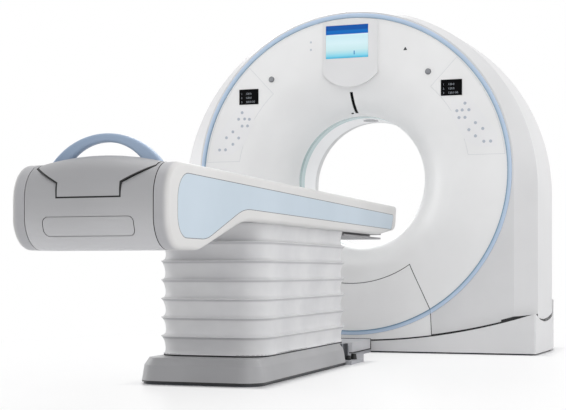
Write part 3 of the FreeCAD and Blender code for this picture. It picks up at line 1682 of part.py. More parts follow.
for obj in doc.Objects:
    if "Invalid" in obj.State or "Error" in obj.State:
        raise RuntimeError("%s (%s) failed: %s" % (obj.Name, obj.Label, obj.State))
for node, obj in NODES.items():
    shape = obj.Shape
    if shape.isNull() or not shape.isValid() or not shape.Solids:
        raise RuntimeError("%s has no valid solid" % node)
    if len(shape.Solids) != 1:
        print("note: %s has %d solids" % (node, len(shape.Solids)))

os.makedirs("parts", exist_ok=True)
for node, obj in NODES.items():
    obj.Shape.exportStep("parts/%s.step" % node)
print("%d nodes" % len(NODES))
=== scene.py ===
import math

import bmesh
import bpy
from mathutils import Matrix, Vector, noise
from mathutils.bvhtree import BVHTree


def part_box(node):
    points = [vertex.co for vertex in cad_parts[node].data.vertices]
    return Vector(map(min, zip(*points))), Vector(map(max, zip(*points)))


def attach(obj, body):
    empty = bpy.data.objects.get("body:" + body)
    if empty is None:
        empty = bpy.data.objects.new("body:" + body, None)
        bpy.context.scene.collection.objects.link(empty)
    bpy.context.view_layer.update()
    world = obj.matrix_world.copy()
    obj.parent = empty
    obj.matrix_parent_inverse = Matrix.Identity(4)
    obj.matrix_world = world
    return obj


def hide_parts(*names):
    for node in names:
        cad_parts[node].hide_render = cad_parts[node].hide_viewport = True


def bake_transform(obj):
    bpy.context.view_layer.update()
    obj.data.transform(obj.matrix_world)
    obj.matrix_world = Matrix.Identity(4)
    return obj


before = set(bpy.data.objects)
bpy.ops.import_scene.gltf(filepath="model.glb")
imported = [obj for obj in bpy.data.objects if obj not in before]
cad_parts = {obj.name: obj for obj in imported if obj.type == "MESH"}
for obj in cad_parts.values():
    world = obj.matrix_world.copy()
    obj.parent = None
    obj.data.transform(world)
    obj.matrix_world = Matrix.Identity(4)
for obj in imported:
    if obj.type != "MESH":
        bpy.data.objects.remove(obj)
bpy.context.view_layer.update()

MM = 0.001

# ---------- main places of the machine, in metres ----------

BORE_HIGH = 1.000
BORE_RADIUS = 0.390
RING_HIGH = 1.025
# the axis that the gantry tilts about, the swing surface round it and that surface's crown
TILT_Y = 0.260
SHELL_SWING = 0.973
CROWN_ARC = 3.660
BELLOWS_MID = -1.555
BELLOWS_HALF = 0.250
BELLOWS_LONG = 0.650
BELLOWS_ROUND = 0.120
BELLOWS_FOOT = 0.112
BELLOWS_TOP = 0.6637
# top of the floor plate that links couch and gantry
LINK_PLATE_TOP = 18.5 * MM


def linear(code):
    """sRGB hex colour as linear red, green, blue and alpha."""
    out = []
    for at in (1, 3, 5):
        level = int(code[at:at + 2], 16) / 255
        out.append(level / 12.92 if level <= 0.04045 else ((level + 0.055) / 1.055) ** 2.4)
    return (*out, 1.0)


# ---------- materials ----------

# colours of painted shade: deep in the gaps, on the walls of seams, in the foot cap's gap
DEEP_SHADE = "#0E0F11"
SEAM_SHADE = "#2A2B2E"
CAP_GAP_SHADE = "#101012"
# a limit past everything on the machine, for a test that is open on one side
OPEN = 3.0


def add_node(tree, kind, sets=None, links=None, **settings):
    """One node with its settings, socket values and links from other nodes' outputs."""
    node = tree.nodes.new(kind)
    for name, value in settings.items():
        setattr(node, name, value)
    for key, value in (sets or {}).items():
        node.inputs[key].default_value = value
    for key, source in (links or {}).items():
        tree.links.new(source, node.inputs[key])
    return node


def finish_of(name, color, rough, **sockets):
    """A plain material: itself, its tree, its shader node and its object coordinates."""
    material = bpy.data.materials.new(name)
    material.use_nodes = True
    tree = material.node_tree
    tree.nodes.clear()
    shader = add_node(
        tree, "ShaderNodeBsdfPrincipled", {"Base Color": linear(color), "Roughness": rough}
    )
    for key, value in sockets.items():
        shader.inputs[key.replace("_", " ")].default_value = value
    add_node(tree, "ShaderNodeOutputMaterial", links={"Surface": shader.outputs[0]})
    place = add_node(tree, "ShaderNodeTexCoord").outputs["Object"]
    return material, tree, shader, place


def mottle(tree, place, size, dark, light):
    """A soft noise of that size in metres that runs between two colours."""
    cloud = add_node(
        tree, "ShaderNodeTexNoise", {"Scale": 1 / size, "Detail": 3.0, "Roughness": 0.5},
        {"Vector": place},
    )
    ramp = add_node(tree, "ShaderNodeValToRGB", links={"Fac": cloud.outputs["Fac"]})
    for element, position, color in zip(ramp.color_ramp.elements, (0.35, 0.65), (dark, light)):
        element.position = position
        element.color = linear(color)
    return ramp.outputs[0]


def grained(tree, shader, place, size, height, rough, patch):
    """Fine grain of that size and height, and a sheen that wiping has left a little uneven."""
    cloud = add_node(
        tree, "ShaderNodeTexNoise", {"Scale": 1 / size, "Detail": 2.0}, {"Vector": place}
    )
    bump = add_node(
        tree, "ShaderNodeBump", {"Strength": 1.0, "Distance": height},
        {"Height": cloud.outputs["Fac"]},
    )
    tree.links.new(bump.outputs[0], shader.inputs["Normal"])
    wiped = add_node(
        tree, "ShaderNodeTexNoise", {"Scale": 1 / patch, "Detail": 4.0}, {"Vector": place}
    )
    sheen = add_node(
        tree, "ShaderNodeMapRange", {"To Min": rough - 0.05, "To Max": rough + 0.06},
        {"Value": wiped.outputs["Fac"]},
    )
    tree.links.new(sheen.outputs[0], shader.inputs["Roughness"])


def measured(tree, place):
    """Object coordinates taken apart: x, y, z, width off the centre plane, sizes of the normal.

    A size of the normal is 1 where the surface looks straight along that axis, either way.
    """
    at = add_node(tree, "ShaderNodeSeparateXYZ", links={0: place})
    normal = add_node(tree, "ShaderNodeTexCoord").outputs["Normal"]
    facing = add_node(tree, "ShaderNodeVectorMath", links={0: normal}, operation="ABSOLUTE")
    turned = add_node(tree, "ShaderNodeSeparateXYZ", links={0: facing.outputs[0]})
    off = add_node(tree, "ShaderNodeMath", links={0: at.outputs[0]}, operation="ABSOLUTE")
    return {
        "x": at.outputs[0], "y": at.outputs[1], "z": at.outputs[2], "off": off.outputs[0],
        "nx": turned.outputs[0], "ny": turned.outputs[1], "nz": turned.outputs[2],
    }


def reach_from(tree, place, centre, keep):
    """Distance from a point, with each axis weighted by keep; 0 leaves an axis out."""
    moved = add_node(
        tree, "ShaderNodeVectorMath", {1: tuple(-c for c in centre)}, {0: place}, operation="ADD"
    )
    flat = add_node(
        tree, "ShaderNodeVectorMath", {1: keep}, {0: moved.outputs[0]}, operation="MULTIPLY"
    )
    return add_node(
        tree, "ShaderNodeVectorMath", links={0: flat.outputs[0]}, operation="LENGTH"
    ).outputs["Value"]


def swing_reach(tree, place, at):
    """Distance from the tilt axis, with the crown of the swing surface taken out."""
    reach = reach_from(tree, place, (0, TILT_Y, BORE_HIGH), (0, 1, 1))
    square = add_node(tree, "ShaderNodeMath", {1: 2.0}, {0: at["off"]}, operation="POWER")
    under = add_node(
        tree, "ShaderNodeMath", {0: CROWN_ARC ** 2}, {1: square.outputs[0]}, operation="SUBTRACT"
    )
    root = add_node(tree, "ShaderNodeMath", links={0: under.outputs[0]}, operation="SQRT")
    drop = add_node(
        tree, "ShaderNodeMath", {0: CROWN_ARC}, {1: root.outputs[0]}, operation="SUBTRACT"
    )
    return add_node(
        tree, "ShaderNodeMath", links={0: reach, 1: drop.outputs[0]}, operation="ADD"
    ).outputs[0]


def beyond_box(tree, place, half_x, mid_y, half_y):
    """How far a point lies outside an upright box, below 0 within it."""
    moved = add_node(
        tree, "ShaderNodeVectorMath", {1: (0, -mid_y, 0)}, {0: place}, operation="ADD"
    )
    folded = add_node(
        tree, "ShaderNodeVectorMath", links={0: moved.outputs[0]}, operation="ABSOLUTE"
    )
    past = add_node(
        tree, "ShaderNodeVectorMath", {1: (half_x, half_y, 0)}, {0: folded.outputs[0]},
        operation="SUBTRACT",
    )
    parts = add_node(tree, "ShaderNodeSeparateXYZ", links={0: past.outputs[0]})
    return add_node(
        tree, "ShaderNodeMath", links={0: parts.outputs[0], 1: parts.outputs[1]},
        operation="MAXIMUM",
    ).outputs[0]


def painted_over(tree, shader, mask, color):
    """Second colour where the mask is 1, over what the base colour was before."""
    under = shader.inputs["Base Color"]
    mix = add_node(
        tree, "ShaderNodeMix", {7: linear(color)}, {0: mask, 6: under.links[0].from_socket},
        data_type="RGBA",
    )
    tree.links.new(mix.outputs[2], under)


def painted_where(tree, shader, color, *tests):
    """Second colour where each value lies between its two limits; None leaves a side open."""
    mask = None
    for value, low, high in tests:
        low = -OPEN if low is None else low
        high = OPEN if high is None else high
        hit = add_node(
            tree, "ShaderNodeMath", {1: (low + high) / 2, 2: (high - low) / 2}, {0: value},
            operation="COMPARE",
        ).outputs[0]
        if mask is not None:
            hit = add_node(
                tree, "ShaderNodeMath", links={0: mask, 1: hit}, operation="MULTIPLY"
            ).outputs[0]
        mask = hit
    painted_over(tree, shader, mask, color)


def moulded(name, dark, light, rough, grain, height, **sockets):
    """Moulded plastic or paint: grain, a slight drift of tone, wiped sheen."""
    drift, patch = 0.4, 0.2
    material, tree, shader, place = finish_of(name, light, rough, **sockets)
    tree.links.new(mottle(tree, place, drift, dark, light), shader.inputs["Base Color"])
    grained(tree, shader, place, grain * MM, height * MM, rough, patch)
    return material, tree, shader, place


def metal(name, dark, light, rough, grain, height):
    """Metal with a turned or cast surface: grain bump and a light drift of tone."""
    drift, patch = 0.12, 0.08
    material, tree, shader, place = finish_of(name, light, rough, Metallic=1.0)
    tree.links.new(mottle(tree, place, drift, dark, light), shader.inputs["Base Color"])
    grained(tree, shader, place, grain * MM, height * MM, rough, patch)
    return material


def upright_seam(tree, shader, at):
    """Painted shade on the walls of the seam that runs down from the trim ring to the plinth, on
    edges that face aside.
    """
    top, inner, outer = 0.36, 0.462, 0.490
    painted_where(
        tree, shader, SEAM_SHADE, (at["nx"], 0.95, None), (at["z"], None, top),
        (at["off"], inner, outer),
    )


def face_paint(name):
    """Satin two-part paint on the white front, with a faint orange peel.

    Painted shade darkens the edges where the lower cover comes off, the edge over the plinth
    and the strip round the laser slot.
    """
    material, tree, shader, place = moulded(name, "#E7E7E7", "#ECECEC", 0.36, 3, 0.02)
    at = measured(tree, place)
    reach = reach_from(tree, place, (0, 0, BORE_HIGH), (1, 0, 1))
    # the lower cover's edges lie outside the bell's rim and below this height
    bell_rim, cover_top = 0.592, 0.75
    # depths behind the front plane: where the painted shade of the seam starts, and the back of all
    # the paint
    seam_deep, back = 12.5 * MM, 0.3
    cover_edge = [(reach, bell_rim, None), (at["z"], None, cover_top)]
    # painted shade on the walls of the seam round the lower cover
    painted_where(tree, shader, SEAM_SHADE, *cover_edge, (at["y"], seam_deep, back))
    # painted shade on the lower cover's edges that turn away from the front
    painted_where(tree, shader, DEEP_SHADE, *cover_edge, (at["ny"], None, 0.5))
    # painted shade in the gap over the plinth, along the swing surface
    gap_shade_wide, gap_shade_top = 6 * MM, 0.3
    swing = swing_reach(tree, place, at)
    painted_where(
        tree, shader, DEEP_SHADE, (swing, SHELL_SWING - gap_shade_wide, None), (at["z"], None, gap_shade_top)
    )
    # painted shade on the laser slot's walls and on a thin strip of the front round it
    slot_left, slot_right, slot_low, slot_high = -16.7 * MM, 0.7 * MM, 1.4005, 1.508
    painted_where(
        tree, shader, "#101113", (at["x"], slot_left, slot_right), (at["z"], slot_low, slot_high),
        (at["y"], None, back),
    )
    upright_seam(tree, shader, at)
    return material


def shell_paint(name):
    """The same paint in the shell's cooler white, with painted shade along the swing surface.

    The painted shade is widest at the corners and thinnest on the flanks.
    """
    material, tree, shader, place = moulded(name, "#D2D2D3", "#D7D7D8", 0.36, 3, 0.02)
    at = measured(tree, place)
    reach = swing_reach(tree, place, at)
    corner_off = 0.87
    corners = [(at["off"], corner_off, None), (at["nx"], None, 0.98)]
    front_and_back = [(at["nx"], None, 0.985)]
    # painted shade in the gap over the plinth: widest at the corners, narrower at front and back,
    # thinnest elsewhere
    for wide, part in ((20 * MM, corners), (10 * MM, front_and_back), (3 * MM, [])):
        painted_where(
            tree, shader, DEEP_SHADE, (reach, SHELL_SWING - wide, None),
            (at["z"], None, BORE_HIGH), *part,
        )
    upright_seam(tree, shader, at)
    return material


def ring_strip(name):
    """Polished blue polycarbonate strip, with a painted shadow along its inner edge, stronger low
    down, and a painted highlight on its outer rim.
    """
    material, tree, shader, place = moulded(name, "#A8BCD2", "#B0C4D8", 0.22, 4, 0.01)
    reach = reach_from(tree, place, (0, 0, RING_HIGH), (1, 0, 1))
    # radii between which the painted shadow on the inner edge fades out and the painted highlight
    # on the rim fades in
    shadow_from, shadow_to, highlight_from, highlight_to = 0.9085, 0.9125, 0.913, 0.925
    ring_top, ring_foot = 2.0, 0.4
    edge = add_node(
        tree, "ShaderNodeMapRange",
        {"From Min": shadow_from, "From Max": shadow_to, "To Min": 1.0, "To Max": 0.0},
        {"Value": reach},
    )
    low = add_node(
        tree, "ShaderNodeMapRange",
        {"From Min": ring_top, "From Max": ring_foot, "To Min": 0.25, "To Max": 0.85},
        {"Value": measured(tree, place)["z"]},
    )
    shadow_mask = add_node(
        tree, "ShaderNodeMath", links={0: edge.outputs[0], 1: low.outputs[0]},
        operation="MULTIPLY",
    )
    # painted shadow along the inner edge, stronger low down
    painted_over(tree, shader, shadow_mask.outputs[0], "#587F9A")
    # painted highlight on the outer rim
    rim_highlight = add_node(
        tree, "ShaderNodeMapRange", {"From Min": highlight_from, "From Max": highlight_to, "To Max": 0.75},
        {"Value": reach},
    )
    painted_over(tree, shader, rim_highlight.outputs[0], "#C0D1E8")
    return material


def liner_paint(name):
    """White liner of the bore with a faint painted glow that brightens it, tinted on the lip by the
    window.
    """
    material, tree, shader, place = moulded(name, "#E9E9EA", "#EDEDEE", 0.34, 3, 0.02)
    # painted glow that brightens the liner in the bore's shade
    shader.inputs["Emission Color"].default_value = linear("#F6F7F8")
    shader.inputs["Emission Strength"].default_value = 0.11
    lip_front, lip_back = 0.28, 0.355
    painted_where(tree, shader, "#A9C0C2", (measured(tree, place)["y"], lip_front, lip_back))
    return material


def couch_side(name):
    """Warm grey ABS frame of the couch side, with painted shade on the rounding of the foot end and
    in the inlay groove.
    """
    material, tree, shader, place = moulded(name, "#CECDCC", "#D3D2D1", 0.38, 1.5, 0.03)
    at = measured(tree, place)
    # the rounding of the foot end, where painted shade darkens it: where it starts and ends along Y
    # and off the centre plane
    turn_start, turn_end, side_start, side_end = -3.10, -3.20, 0.288, 0.266
    foot, inner = (
        add_node(
            tree, "ShaderNodeMapRange", {"From Min": start, "From Max": end}, {"Value": value},
            interpolation_type="SMOOTHSTEP",
        )
        for value, start, end in (
            (at["y"], turn_start, turn_end), (at["off"], side_start, side_end)
        )
    )
    foot_shade = add_node(
        tree, "ShaderNodeMath", links={0: foot.outputs[0], 1: inner.outputs[0]},
        operation="MULTIPLY",
    )
    # painted shade on the rounding of the foot end
    painted_over(tree, shader, foot_shade.outputs[0], "#B2B2B5")
    groove_floor, groove_edge = 0.2866, 0.2885
    # painted shade in the groove: its walls look along the couch, its floor squarely aside
    for low, high in ((None, 0.5), (0.995, None)):
        painted_where(
            tree, shader, "#3C3E42", (at["off"], groove_floor, groove_edge), (at["nx"], low, high)
        )
    return material


def drum_grey(name):
    """Grey spark-eroded ABS of the foot end, with painted shade from the waist up and painted light
    from the waist down; painted shade in the cap's gap.
    """
    material, tree, shader, place = moulded(name, "#B0B0B2", "#B8B8BA", 0.45, 1.2, 0.04)
    at = measured(tree, place)
    # heights: painted shade darkens it from the waist up, painted light from below makes it paler
    # from the waist down
    top, waist, foot = 0.80, 0.68, 0.50
    for end, share, tone in ((top, 0.60, "#9A9A9D"), (foot, 0.85, "#D6D6D8")):
        fade = add_node(
            tree, "ShaderNodeMapRange", {"From Min": waist, "From Max": end, "To Max": share},
            {"Value": at["z"]},
        )
        painted_over(tree, shader, fade.outputs[0], tone)
    cap_half, tongue_half, tongue_low, tongue_high = 0.2385, 0.13, 0.7045, 0.7120
    # painted shade on the walls of the cap's gap and on the flat faces of its tongue
    painted_where(tree, shader, CAP_GAP_SHADE, (at["nx"], 0.32, None), (at["off"], 0.0, cap_half))
    painted_where(
        tree, shader, CAP_GAP_SHADE, (at["nz"], 0.98, None), (at["z"], tongue_low, tongue_high),
        (at["off"], 0.0, tongue_half),
    )
    return material


def skirt_abs(name):
    """Darker grey skirt of the couch base, with painted contact shadow as a black band along its
    lower edge.
    """
    material, tree, shader, place = moulded(name, "#9A9A9C", "#A3A3A5", 0.42, 1.2, 0.04)
    shadow_band_top = 14.5 * MM
    # painted contact shadow: a black band along the lower edge
    painted_where(tree, shader, "#111213", (measured(tree, place)["z"], None, shadow_band_top))
    return material


def key_film(name):
    """Printed membrane: white film, blue-grey domes that stand out of it."""
    material, tree, shader, place = moulded(name, "#E6E6E7", "#EBEBEC", 0.30, 2, 0.01)
    film_front = -1.15 * MM
    painted_where(tree, shader, "#B0B6C1", (measured(tree, place)["y"], None, film_front))
    return material


# tones of the status screen from its lower to its upper edge, by share of its height
SCREEN_BANDS = [
    (0.0, "#35AFD6"), (0.08, "#86CFE2"), (0.25, "#C3E2E6"), (0.45, "#D0E9EE"), (0.70, "#C6E4EA"),
    (0.715, "#EAF8FC"), (0.735, "#0A5FB2"), (0.84, "#0D6AB8"), (0.86, "#084F9E"), (1.0, "#0851A4"),
]


def screen_picture(name):
    """Lit status screen: dark blue heading, pale field with one mark, bright cyan foot."""
    material, tree, shader, place = finish_of(name, "#CFE4EC", 0.20, Specular_IOR_Level=0.2)
    at = measured(tree, place)
    low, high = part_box("status_screen")
    rise = add_node(
        tree, "ShaderNodeMapRange", {"From Min": low[2], "From Max": high[2]}, {"Value": at["z"]}
    )
    ramp = add_node(tree, "ShaderNodeValToRGB", links={"Fac": rise.outputs[0]})
    elements = ramp.color_ramp.elements
    while len(elements) < len(SCREEN_BANDS):
        elements.new(0.5)
    for element, (spot, color) in zip(elements, SCREEN_BANDS):
        element.position = spot
        element.color = linear(color)
    tree.links.new(ramp.outputs[0], shader.inputs["Base Color"])
    tree.links.new(ramp.outputs[0], shader.inputs["Emission Color"])
    shader.inputs["Emission Strength"].default_value = 0.12
    middle, foot = (low[0] + high[0]) / 2, low[2]
    mark_left, mark_right, mark_low, mark_high = 40 * MM, 47 * MM, 18 * MM, 40 * MM
    painted_where(
        tree, shader, "#3A7FB8", (at["x"], middle + mark_left, middle + mark_right),
        (at["z"], foot + mark_low, foot + mark_high),
    )
    # only the glass is lit: the screen's own edge, behind it, is black
    glass_back = -8.9 * MM
    painted_where(tree, shader, "#15171A", (at["y"], glass_back, None))
    return material


def coated_cloth(name):
    """Vinyl-coated polyester sleeve: weave drawn at 5 mm so that it shows, soft handling marks."""
    material, tree, shader, place = finish_of(
        name, "#D0D0D1", 0.55, Sheen_Weight=0.15, Sheen_Roughness=0.5
    )
    tone = mottle(tree, place, 0.22, "#CBCBCD", "#D5D5D6")
    tree.links.new(tone, shader.inputs["Base Color"])
    # painted shade in the line just below each ridge, read from the sleeve's points
    shade_below_ridge = add_node(tree, "ShaderNodeAttribute", attribute_name="shade_below_ridge")
    painted_over(tree, shader, shade_below_ridge.outputs["Fac"], "#A2A2A5")
    thread = 5 * MM
    warp, weft = (
        add_node(
            tree, "ShaderNodeTexWave",
            {"Scale": 0.5 / thread, "Distortion": 0.6, "Detail": 1.0}, {"Vector": place},
            wave_type="BANDS", bands_direction=direction,
        )
        for direction in ("DIAGONAL", "Z")
    )
    weave = add_node(
        tree, "ShaderNodeMath", links={0: warp.outputs["Fac"], 1: weft.outputs["Fac"]},
        operation="MULTIPLY",
    )
    bump = add_node(
        tree, "ShaderNodeBump", {"Strength": 0.5, "Distance": 0.12 * MM},
        {"Height": weave.outputs[0]},
    )
    # creases about 45 mm apart
    creases = add_node(
        tree, "ShaderNodeTexNoise", {"Scale": 22.0, "Detail": 5.0, "Distortion": 0.8},
        {"Vector": place},
    )
    second = add_node(
        tree, "ShaderNodeBump", {"Strength": 0.35, "Distance": 2.0 * MM},
        {"Height": creases.outputs["Fac"], "Normal": bump.outputs[0]},
    )
    tree.links.new(second.outputs[0], shader.inputs["Normal"])
    return material


# finishes with a pattern or a picture of their own
FINISH = {
    kind.__name__: kind(kind.__name__)
    for kind in (liner_paint, skirt_abs, key_film, coated_cloth)
}
FINISH["satin_face_paint"] = face_paint("satin_face_paint")
FINISH["satin_shell_paint"] = shell_paint("satin_shell_paint")
FINISH["blue_polycarbonate"] = ring_strip("blue_polycarbonate")
FINISH["grey_abs"] = drum_grey("grey_abs")
FINISH["warm_grey_abs"] = couch_side("warm_grey_abs")
FINISH["lit_screen"] = screen_picture("lit_screen")
# smoked acrylic of readouts and slots: hardly any gleam, so that it stays black
FINISH["smoked_acrylic"] = moulded(
    "smoked_acrylic", "#050506", "#070708", 0.30, 5, 0.005, Specular_IOR_Level=0.05
)[0]

# plain paints and mouldings: darkest and lightest tone, roughness, grain and its height in mm
MOULDINGS = {
    # the shell's paint on the plinth
    "satin_plinth_paint": ("#D2D2D3", "#D7D7D8", 0.36, 3, 0.02),
    # tinted ring that the beam passes, a little greener and glossier than the trim
    "tinted_window": ("#A1B8BA", "#ABC1C3", 0.16, 5, 0.005),
    # moulded screen bezel, a shade below the face's white and a touch glossier
    "bezel_abs": ("#DBDBDC", "#E0E0E1", 0.30, 1.5, 0.02),
    # underside tray, moulded in the darker grey of the foot end
    "tray_grey": ("#A5A4A6", "#AEADAF", 0.48, 1.2, 0.04),
    # pale blue inlay of the couch sides, satin
    "pale_blue_inlay": ("#B5C4D0", "#BCCAD6", 0.30, 2, 0.02),
    # soft-touch blue grip
    "soft_touch_blue": ("#97ABC6", "#A3B6CE", 0.40, 1.0, 0.03),
    # coated carbon sandwich of the tabletop
    "coated_laminate": ("#DDE1E5", "#E6E9EC", 0.35, 2, 0.03),
    # powder coat on plates and pillars, about 1.5 mm texture
    "dark_powder_coat": ("#2C2E33", "#383B41", 0.55, 1.5, 0.08),
    # painted boxes of the drive and the generator
    "slate_paint": ("#525A66", "#5E6672", 0.42, 1.5, 0.05),
    # moulded rubber of belt, rollers, feet and lips
    "black_rubber": ("#111213", "#1A1B1C", 0.62, 1.0, 0.06),
    # grey paint of the plate that links couch and gantry
    "plate_grey": ("#9A9BA0", "#A6A7AC", 0.45, 1.5, 0.05),
    # light grey cover of the cable link
    "link_grey": ("#C6C6C9", "#CFCFD2", 0.42, 1.2, 0.04),
    # printed figures of the readouts
    "figure_grey": ("#8E949C", "#9DA3AA", 0.5, 2, 0.01),
    # unlit caps of the mode lamps, and the frosted lens of the positioning laser
    "lamp_white": ("#C3C8CF", "#CDD2D8", 0.25, 3, 0.01),
    "lens_grey": ("#8C8E92", "#96989C", 0.2, 3, 0.01),
    # soft PVC beads and gaskets in the seams
    "bead_grey": ("#55585E", "#60636A", 0.5, 2, 0.02),
    "gasket_grey": ("#CDCFD2", "#D3D5D8", 0.5, 2, 0.02),
}
METALS = {
    # sand-cast aluminium of column and rotor
    "cast_aluminium": ("#9B9EA2", "#B4B7BA", 0.42, 1.8, 0.15),
    # ground steel of the bearings and the motor's pulley
    "ground_steel": ("#A6A8AB", "#BDBFC2", 0.24, 0.8, 0.01),
    # satin grey metal of the push buttons
    "button_metal": ("#85878B", "#939599", 0.30, 0.8, 0.01),
    # zinc-plated hardware of the link, dulled
    "zinc_plate": ("#84868C", "#A3A5AB", 0.36, 1.2, 0.03),
    # bronze tracks of the slip ring
    "track_bronze": ("#9C7443", "#B88A52", 0.30, 0.8, 0.01),
}
for finish_name, values in MOULDINGS.items():
    FINISH[finish_name] = moulded(finish_name, *values)[0]
for finish_name, values in METALS.items():
    FINISH[finish_name] = metal(finish_name, *values)

NODE_FINISH = {
    "satin_face_paint": [
        "front_cover", "lower_front_cover", "left_control_panel", "right_control_panel",
    ],
    "satin_shell_paint": ["front_surround", "left_side_cover", "right_side_cover", "rear_cover"],
    "satin_plinth_paint": ["plinth_cover"],
    "liner_paint": ["bore_liner"],
    "key_film": ["left_keypad", "right_keypad"],
    "blue_polycarbonate": ["upper_trim_ring", "lower_trim_ring"],
    "tinted_window": ["scan_window"],
    "bezel_abs": ["screen_bezel"],
    "smoked_acrylic": ["left_readout", "right_readout", "laser_window"],
    "lit_screen": ["status_screen"],
    "button_metal": ["left_button", "right_button"],
    "warm_grey_abs": ["left_side_panel", "right_side_panel"],
    "pale_blue_inlay": ["left_side_inset", "right_side_inset"],
    "grey_abs": ["foot_end_housing", "foot_cap"],
    "tray_grey": ["underside_plate", "couch_frame"],
    "skirt_abs": ["couch_base_cover"],
    "soft_touch_blue": ["push_handle"],
    "coated_laminate": ["tabletop"],
    "coated_cloth": ["bellows"],
    "link_grey": ["cable_box"],
    "plate_grey": ["link_floor_plate"],
    "zinc_plate": ["link_bracket"],
    "dark_powder_coat": [
        "gantry_base_plate", "left_pillar", "right_pillar", "tilt_frame", "couch_base_plate",
        "collimator",
    ],
    "slate_paint": ["high_voltage_generator", "drive_motor", "detector_arc", "xray_tube"],
    "black_rubber": ["drive_belt", "front_roller", "rear_roller"],
    "cast_aluminium": [
        "rotor_drum", "tube_cooler", "column_outer", "column_stage_two", "column_stage_three",
    ],
    "ground_steel": [
        "trunnion_bearings", "bearing_inner_race", "bearing_outer_race", "motor_pulley",
    ],
    "track_bronze": ["slip_ring"],
}
for finish_name, node_names in NODE_FINISH.items():
    for node_name in node_names:
        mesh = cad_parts[node_name].data
        mesh.materials.clear()
        mesh.materials.append(FINISH[finish_name])


# ---------- making of pieces ----------


def piece(name, form, material, body=None, smooth=False):
    """An object at the origin from a bmesh, in one material, riding on a body."""
    mesh = bpy.data.meshes.new(name)
    form.to_mesh(mesh)
    form.free()
    mesh.materials.append(material)
    for face in mesh.polygons:
        face.use_smooth = smooth
    made = bpy.data.objects.new(name, mesh)
    bpy.context.collection.objects.link(made)
    if body:
        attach(made, body)
    return made


def eased(form, width, segments=2):
    """Bevel on all edges of a form that turn by more than about 29 degrees."""
    sharp = 0.5
    bmesh.ops.recalc_face_normals(form, faces=form.faces)
    edges = [e for e in form.edges if len(e.link_faces) == 2 and e.calc_face_angle() > sharp]
    bmesh.ops.bevel(
        form, geom=edges, offset=width, segments=segments, profile=0.5, affect="EDGES",
        material=-1,
    )


def slab(form, low, high):
    """Box between two corners, added to a form."""
    low, high = Vector(low), Vector(high)
    made = bmesh.ops.create_cube(form, size=1.0)["verts"]
    bmesh.ops.scale(form, vec=high - low, verts=made)
    bmesh.ops.translate(form, vec=(low + high) / 2, verts=made)


def thickened(form, faces, step):
    """Faces made a closed body by a copy that lies a step away; gives the copy's points."""
    grown = bmesh.ops.extrude_face_region(form, geom=faces)["geom"]
    moved = [g for g in grown if isinstance(g, bmesh.types.BMVert)]
    bmesh.ops.translate(form, vec=step, verts=moved)
    return moved


def front_of(*names):
    """Front surface of some nodes: gives the point that a line along Y meets first."""
    depsgraph = bpy.context.evaluated_depsgraph_get()
    trees = [BVHTree.FromObject(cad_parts[n], depsgraph) for n in names]

    def meet(x, z):
        hits = [t.ray_cast(Vector((x, -1.0, z)), Vector((0, 1, 0))) for t in trees]
        hits = [h for h in hits if h[0] is not None]
        return min(hits, key=lambda h: h[0].y)[:2]

    return meet


# ---------- bellows ----------

PLEATS = 7
# one pleat: rise as a share of the pitch and depth of the swag; the ridge is a thin welded lip
PLEAT = [
    (0.05, 0.62), (0.12, 0.86), (0.24, 1.0), (0.40, 1.0), (0.55, 0.93), (0.70, 0.78),
    (0.83, 0.55), (0.93, 0.28), (0.965, 0.05), (0.985, 0.0), (1.005, 0.0), (1.02, 0.10),
]
# how much painted shade lies in the line just below a ridge, at a rise
RIDGE_SHADE_SHARE = {0.93: 0.8, 0.965: 0.45}
# depth of the swag where the sleeve is clamped
CLAMPED = 0.55
SWAG_DEEP, SWAG_DRIFT = 19 * MM, 4 * MM
CREASE_DEEP, SAG = 1.6 * MM, 3 * MM


def sleeve_outline(form):
    """Round-cornered outline of the sleeve as a ring of edges at its foot."""
    bmesh.ops.create_grid(form, x_segments=1, y_segments=1, size=1.0)
    bmesh.ops.scale(form, vec=(BELLOWS_HALF, BELLOWS_LONG, 1), verts=form.verts)
    bmesh.ops.bevel(
        form, geom=list(form.verts), offset=BELLOWS_ROUND, segments=9, profile=0.5,
        affect="VERTICES", material=-1,
    )
    bmesh.ops.delete(form, geom=list(form.faces), context="FACES_ONLY")
    # flanks of 1.06 m and ends of 0.26 m, cut into steps a little under 40 mm long
    flanks = [e for e in form.edges if e.calc_length() > 0.9]
    ends = [e for e in form.edges if 0.2 < e.calc_length() < 0.9]
    bmesh.ops.subdivide_edges(form, edges=flanks, cuts=27)
    bmesh.ops.subdivide_edges(form, edges=ends, cuts=6)
    bmesh.ops.translate(form, vec=(0, BELLOWS_MID, BELLOWS_FOOT), verts=form.verts)


def sleeve_levels():
    """Rise in pleats and depth of the swag, ring by ring from foot to top."""
    levels = [(0.0, CLAMPED)]
    for pleat in range(PLEATS):
        # the last pleat ends at the clamp, without a ridge
        last = pleat == PLEATS - 1
        levels += [(pleat + rise, deep) for rise, deep in PLEAT if not (last and rise > 0.9)]
    return levels + [(PLEATS, CLAMPED)]


def outward_from_core(spot):
    """Level direction in which the outline bulges at a spot."""
    core_x, core_y = BELLOWS_HALF - BELLOWS_ROUND, BELLOWS_LONG - BELLOWS_ROUND
    along = spot.y - BELLOWS_MID
    dx = spot.x - max(-core_x, min(core_x, spot.x))
    dy = along - max(-core_y, min(core_y, along))
    return Vector((dx, dy, 0)).normalized()


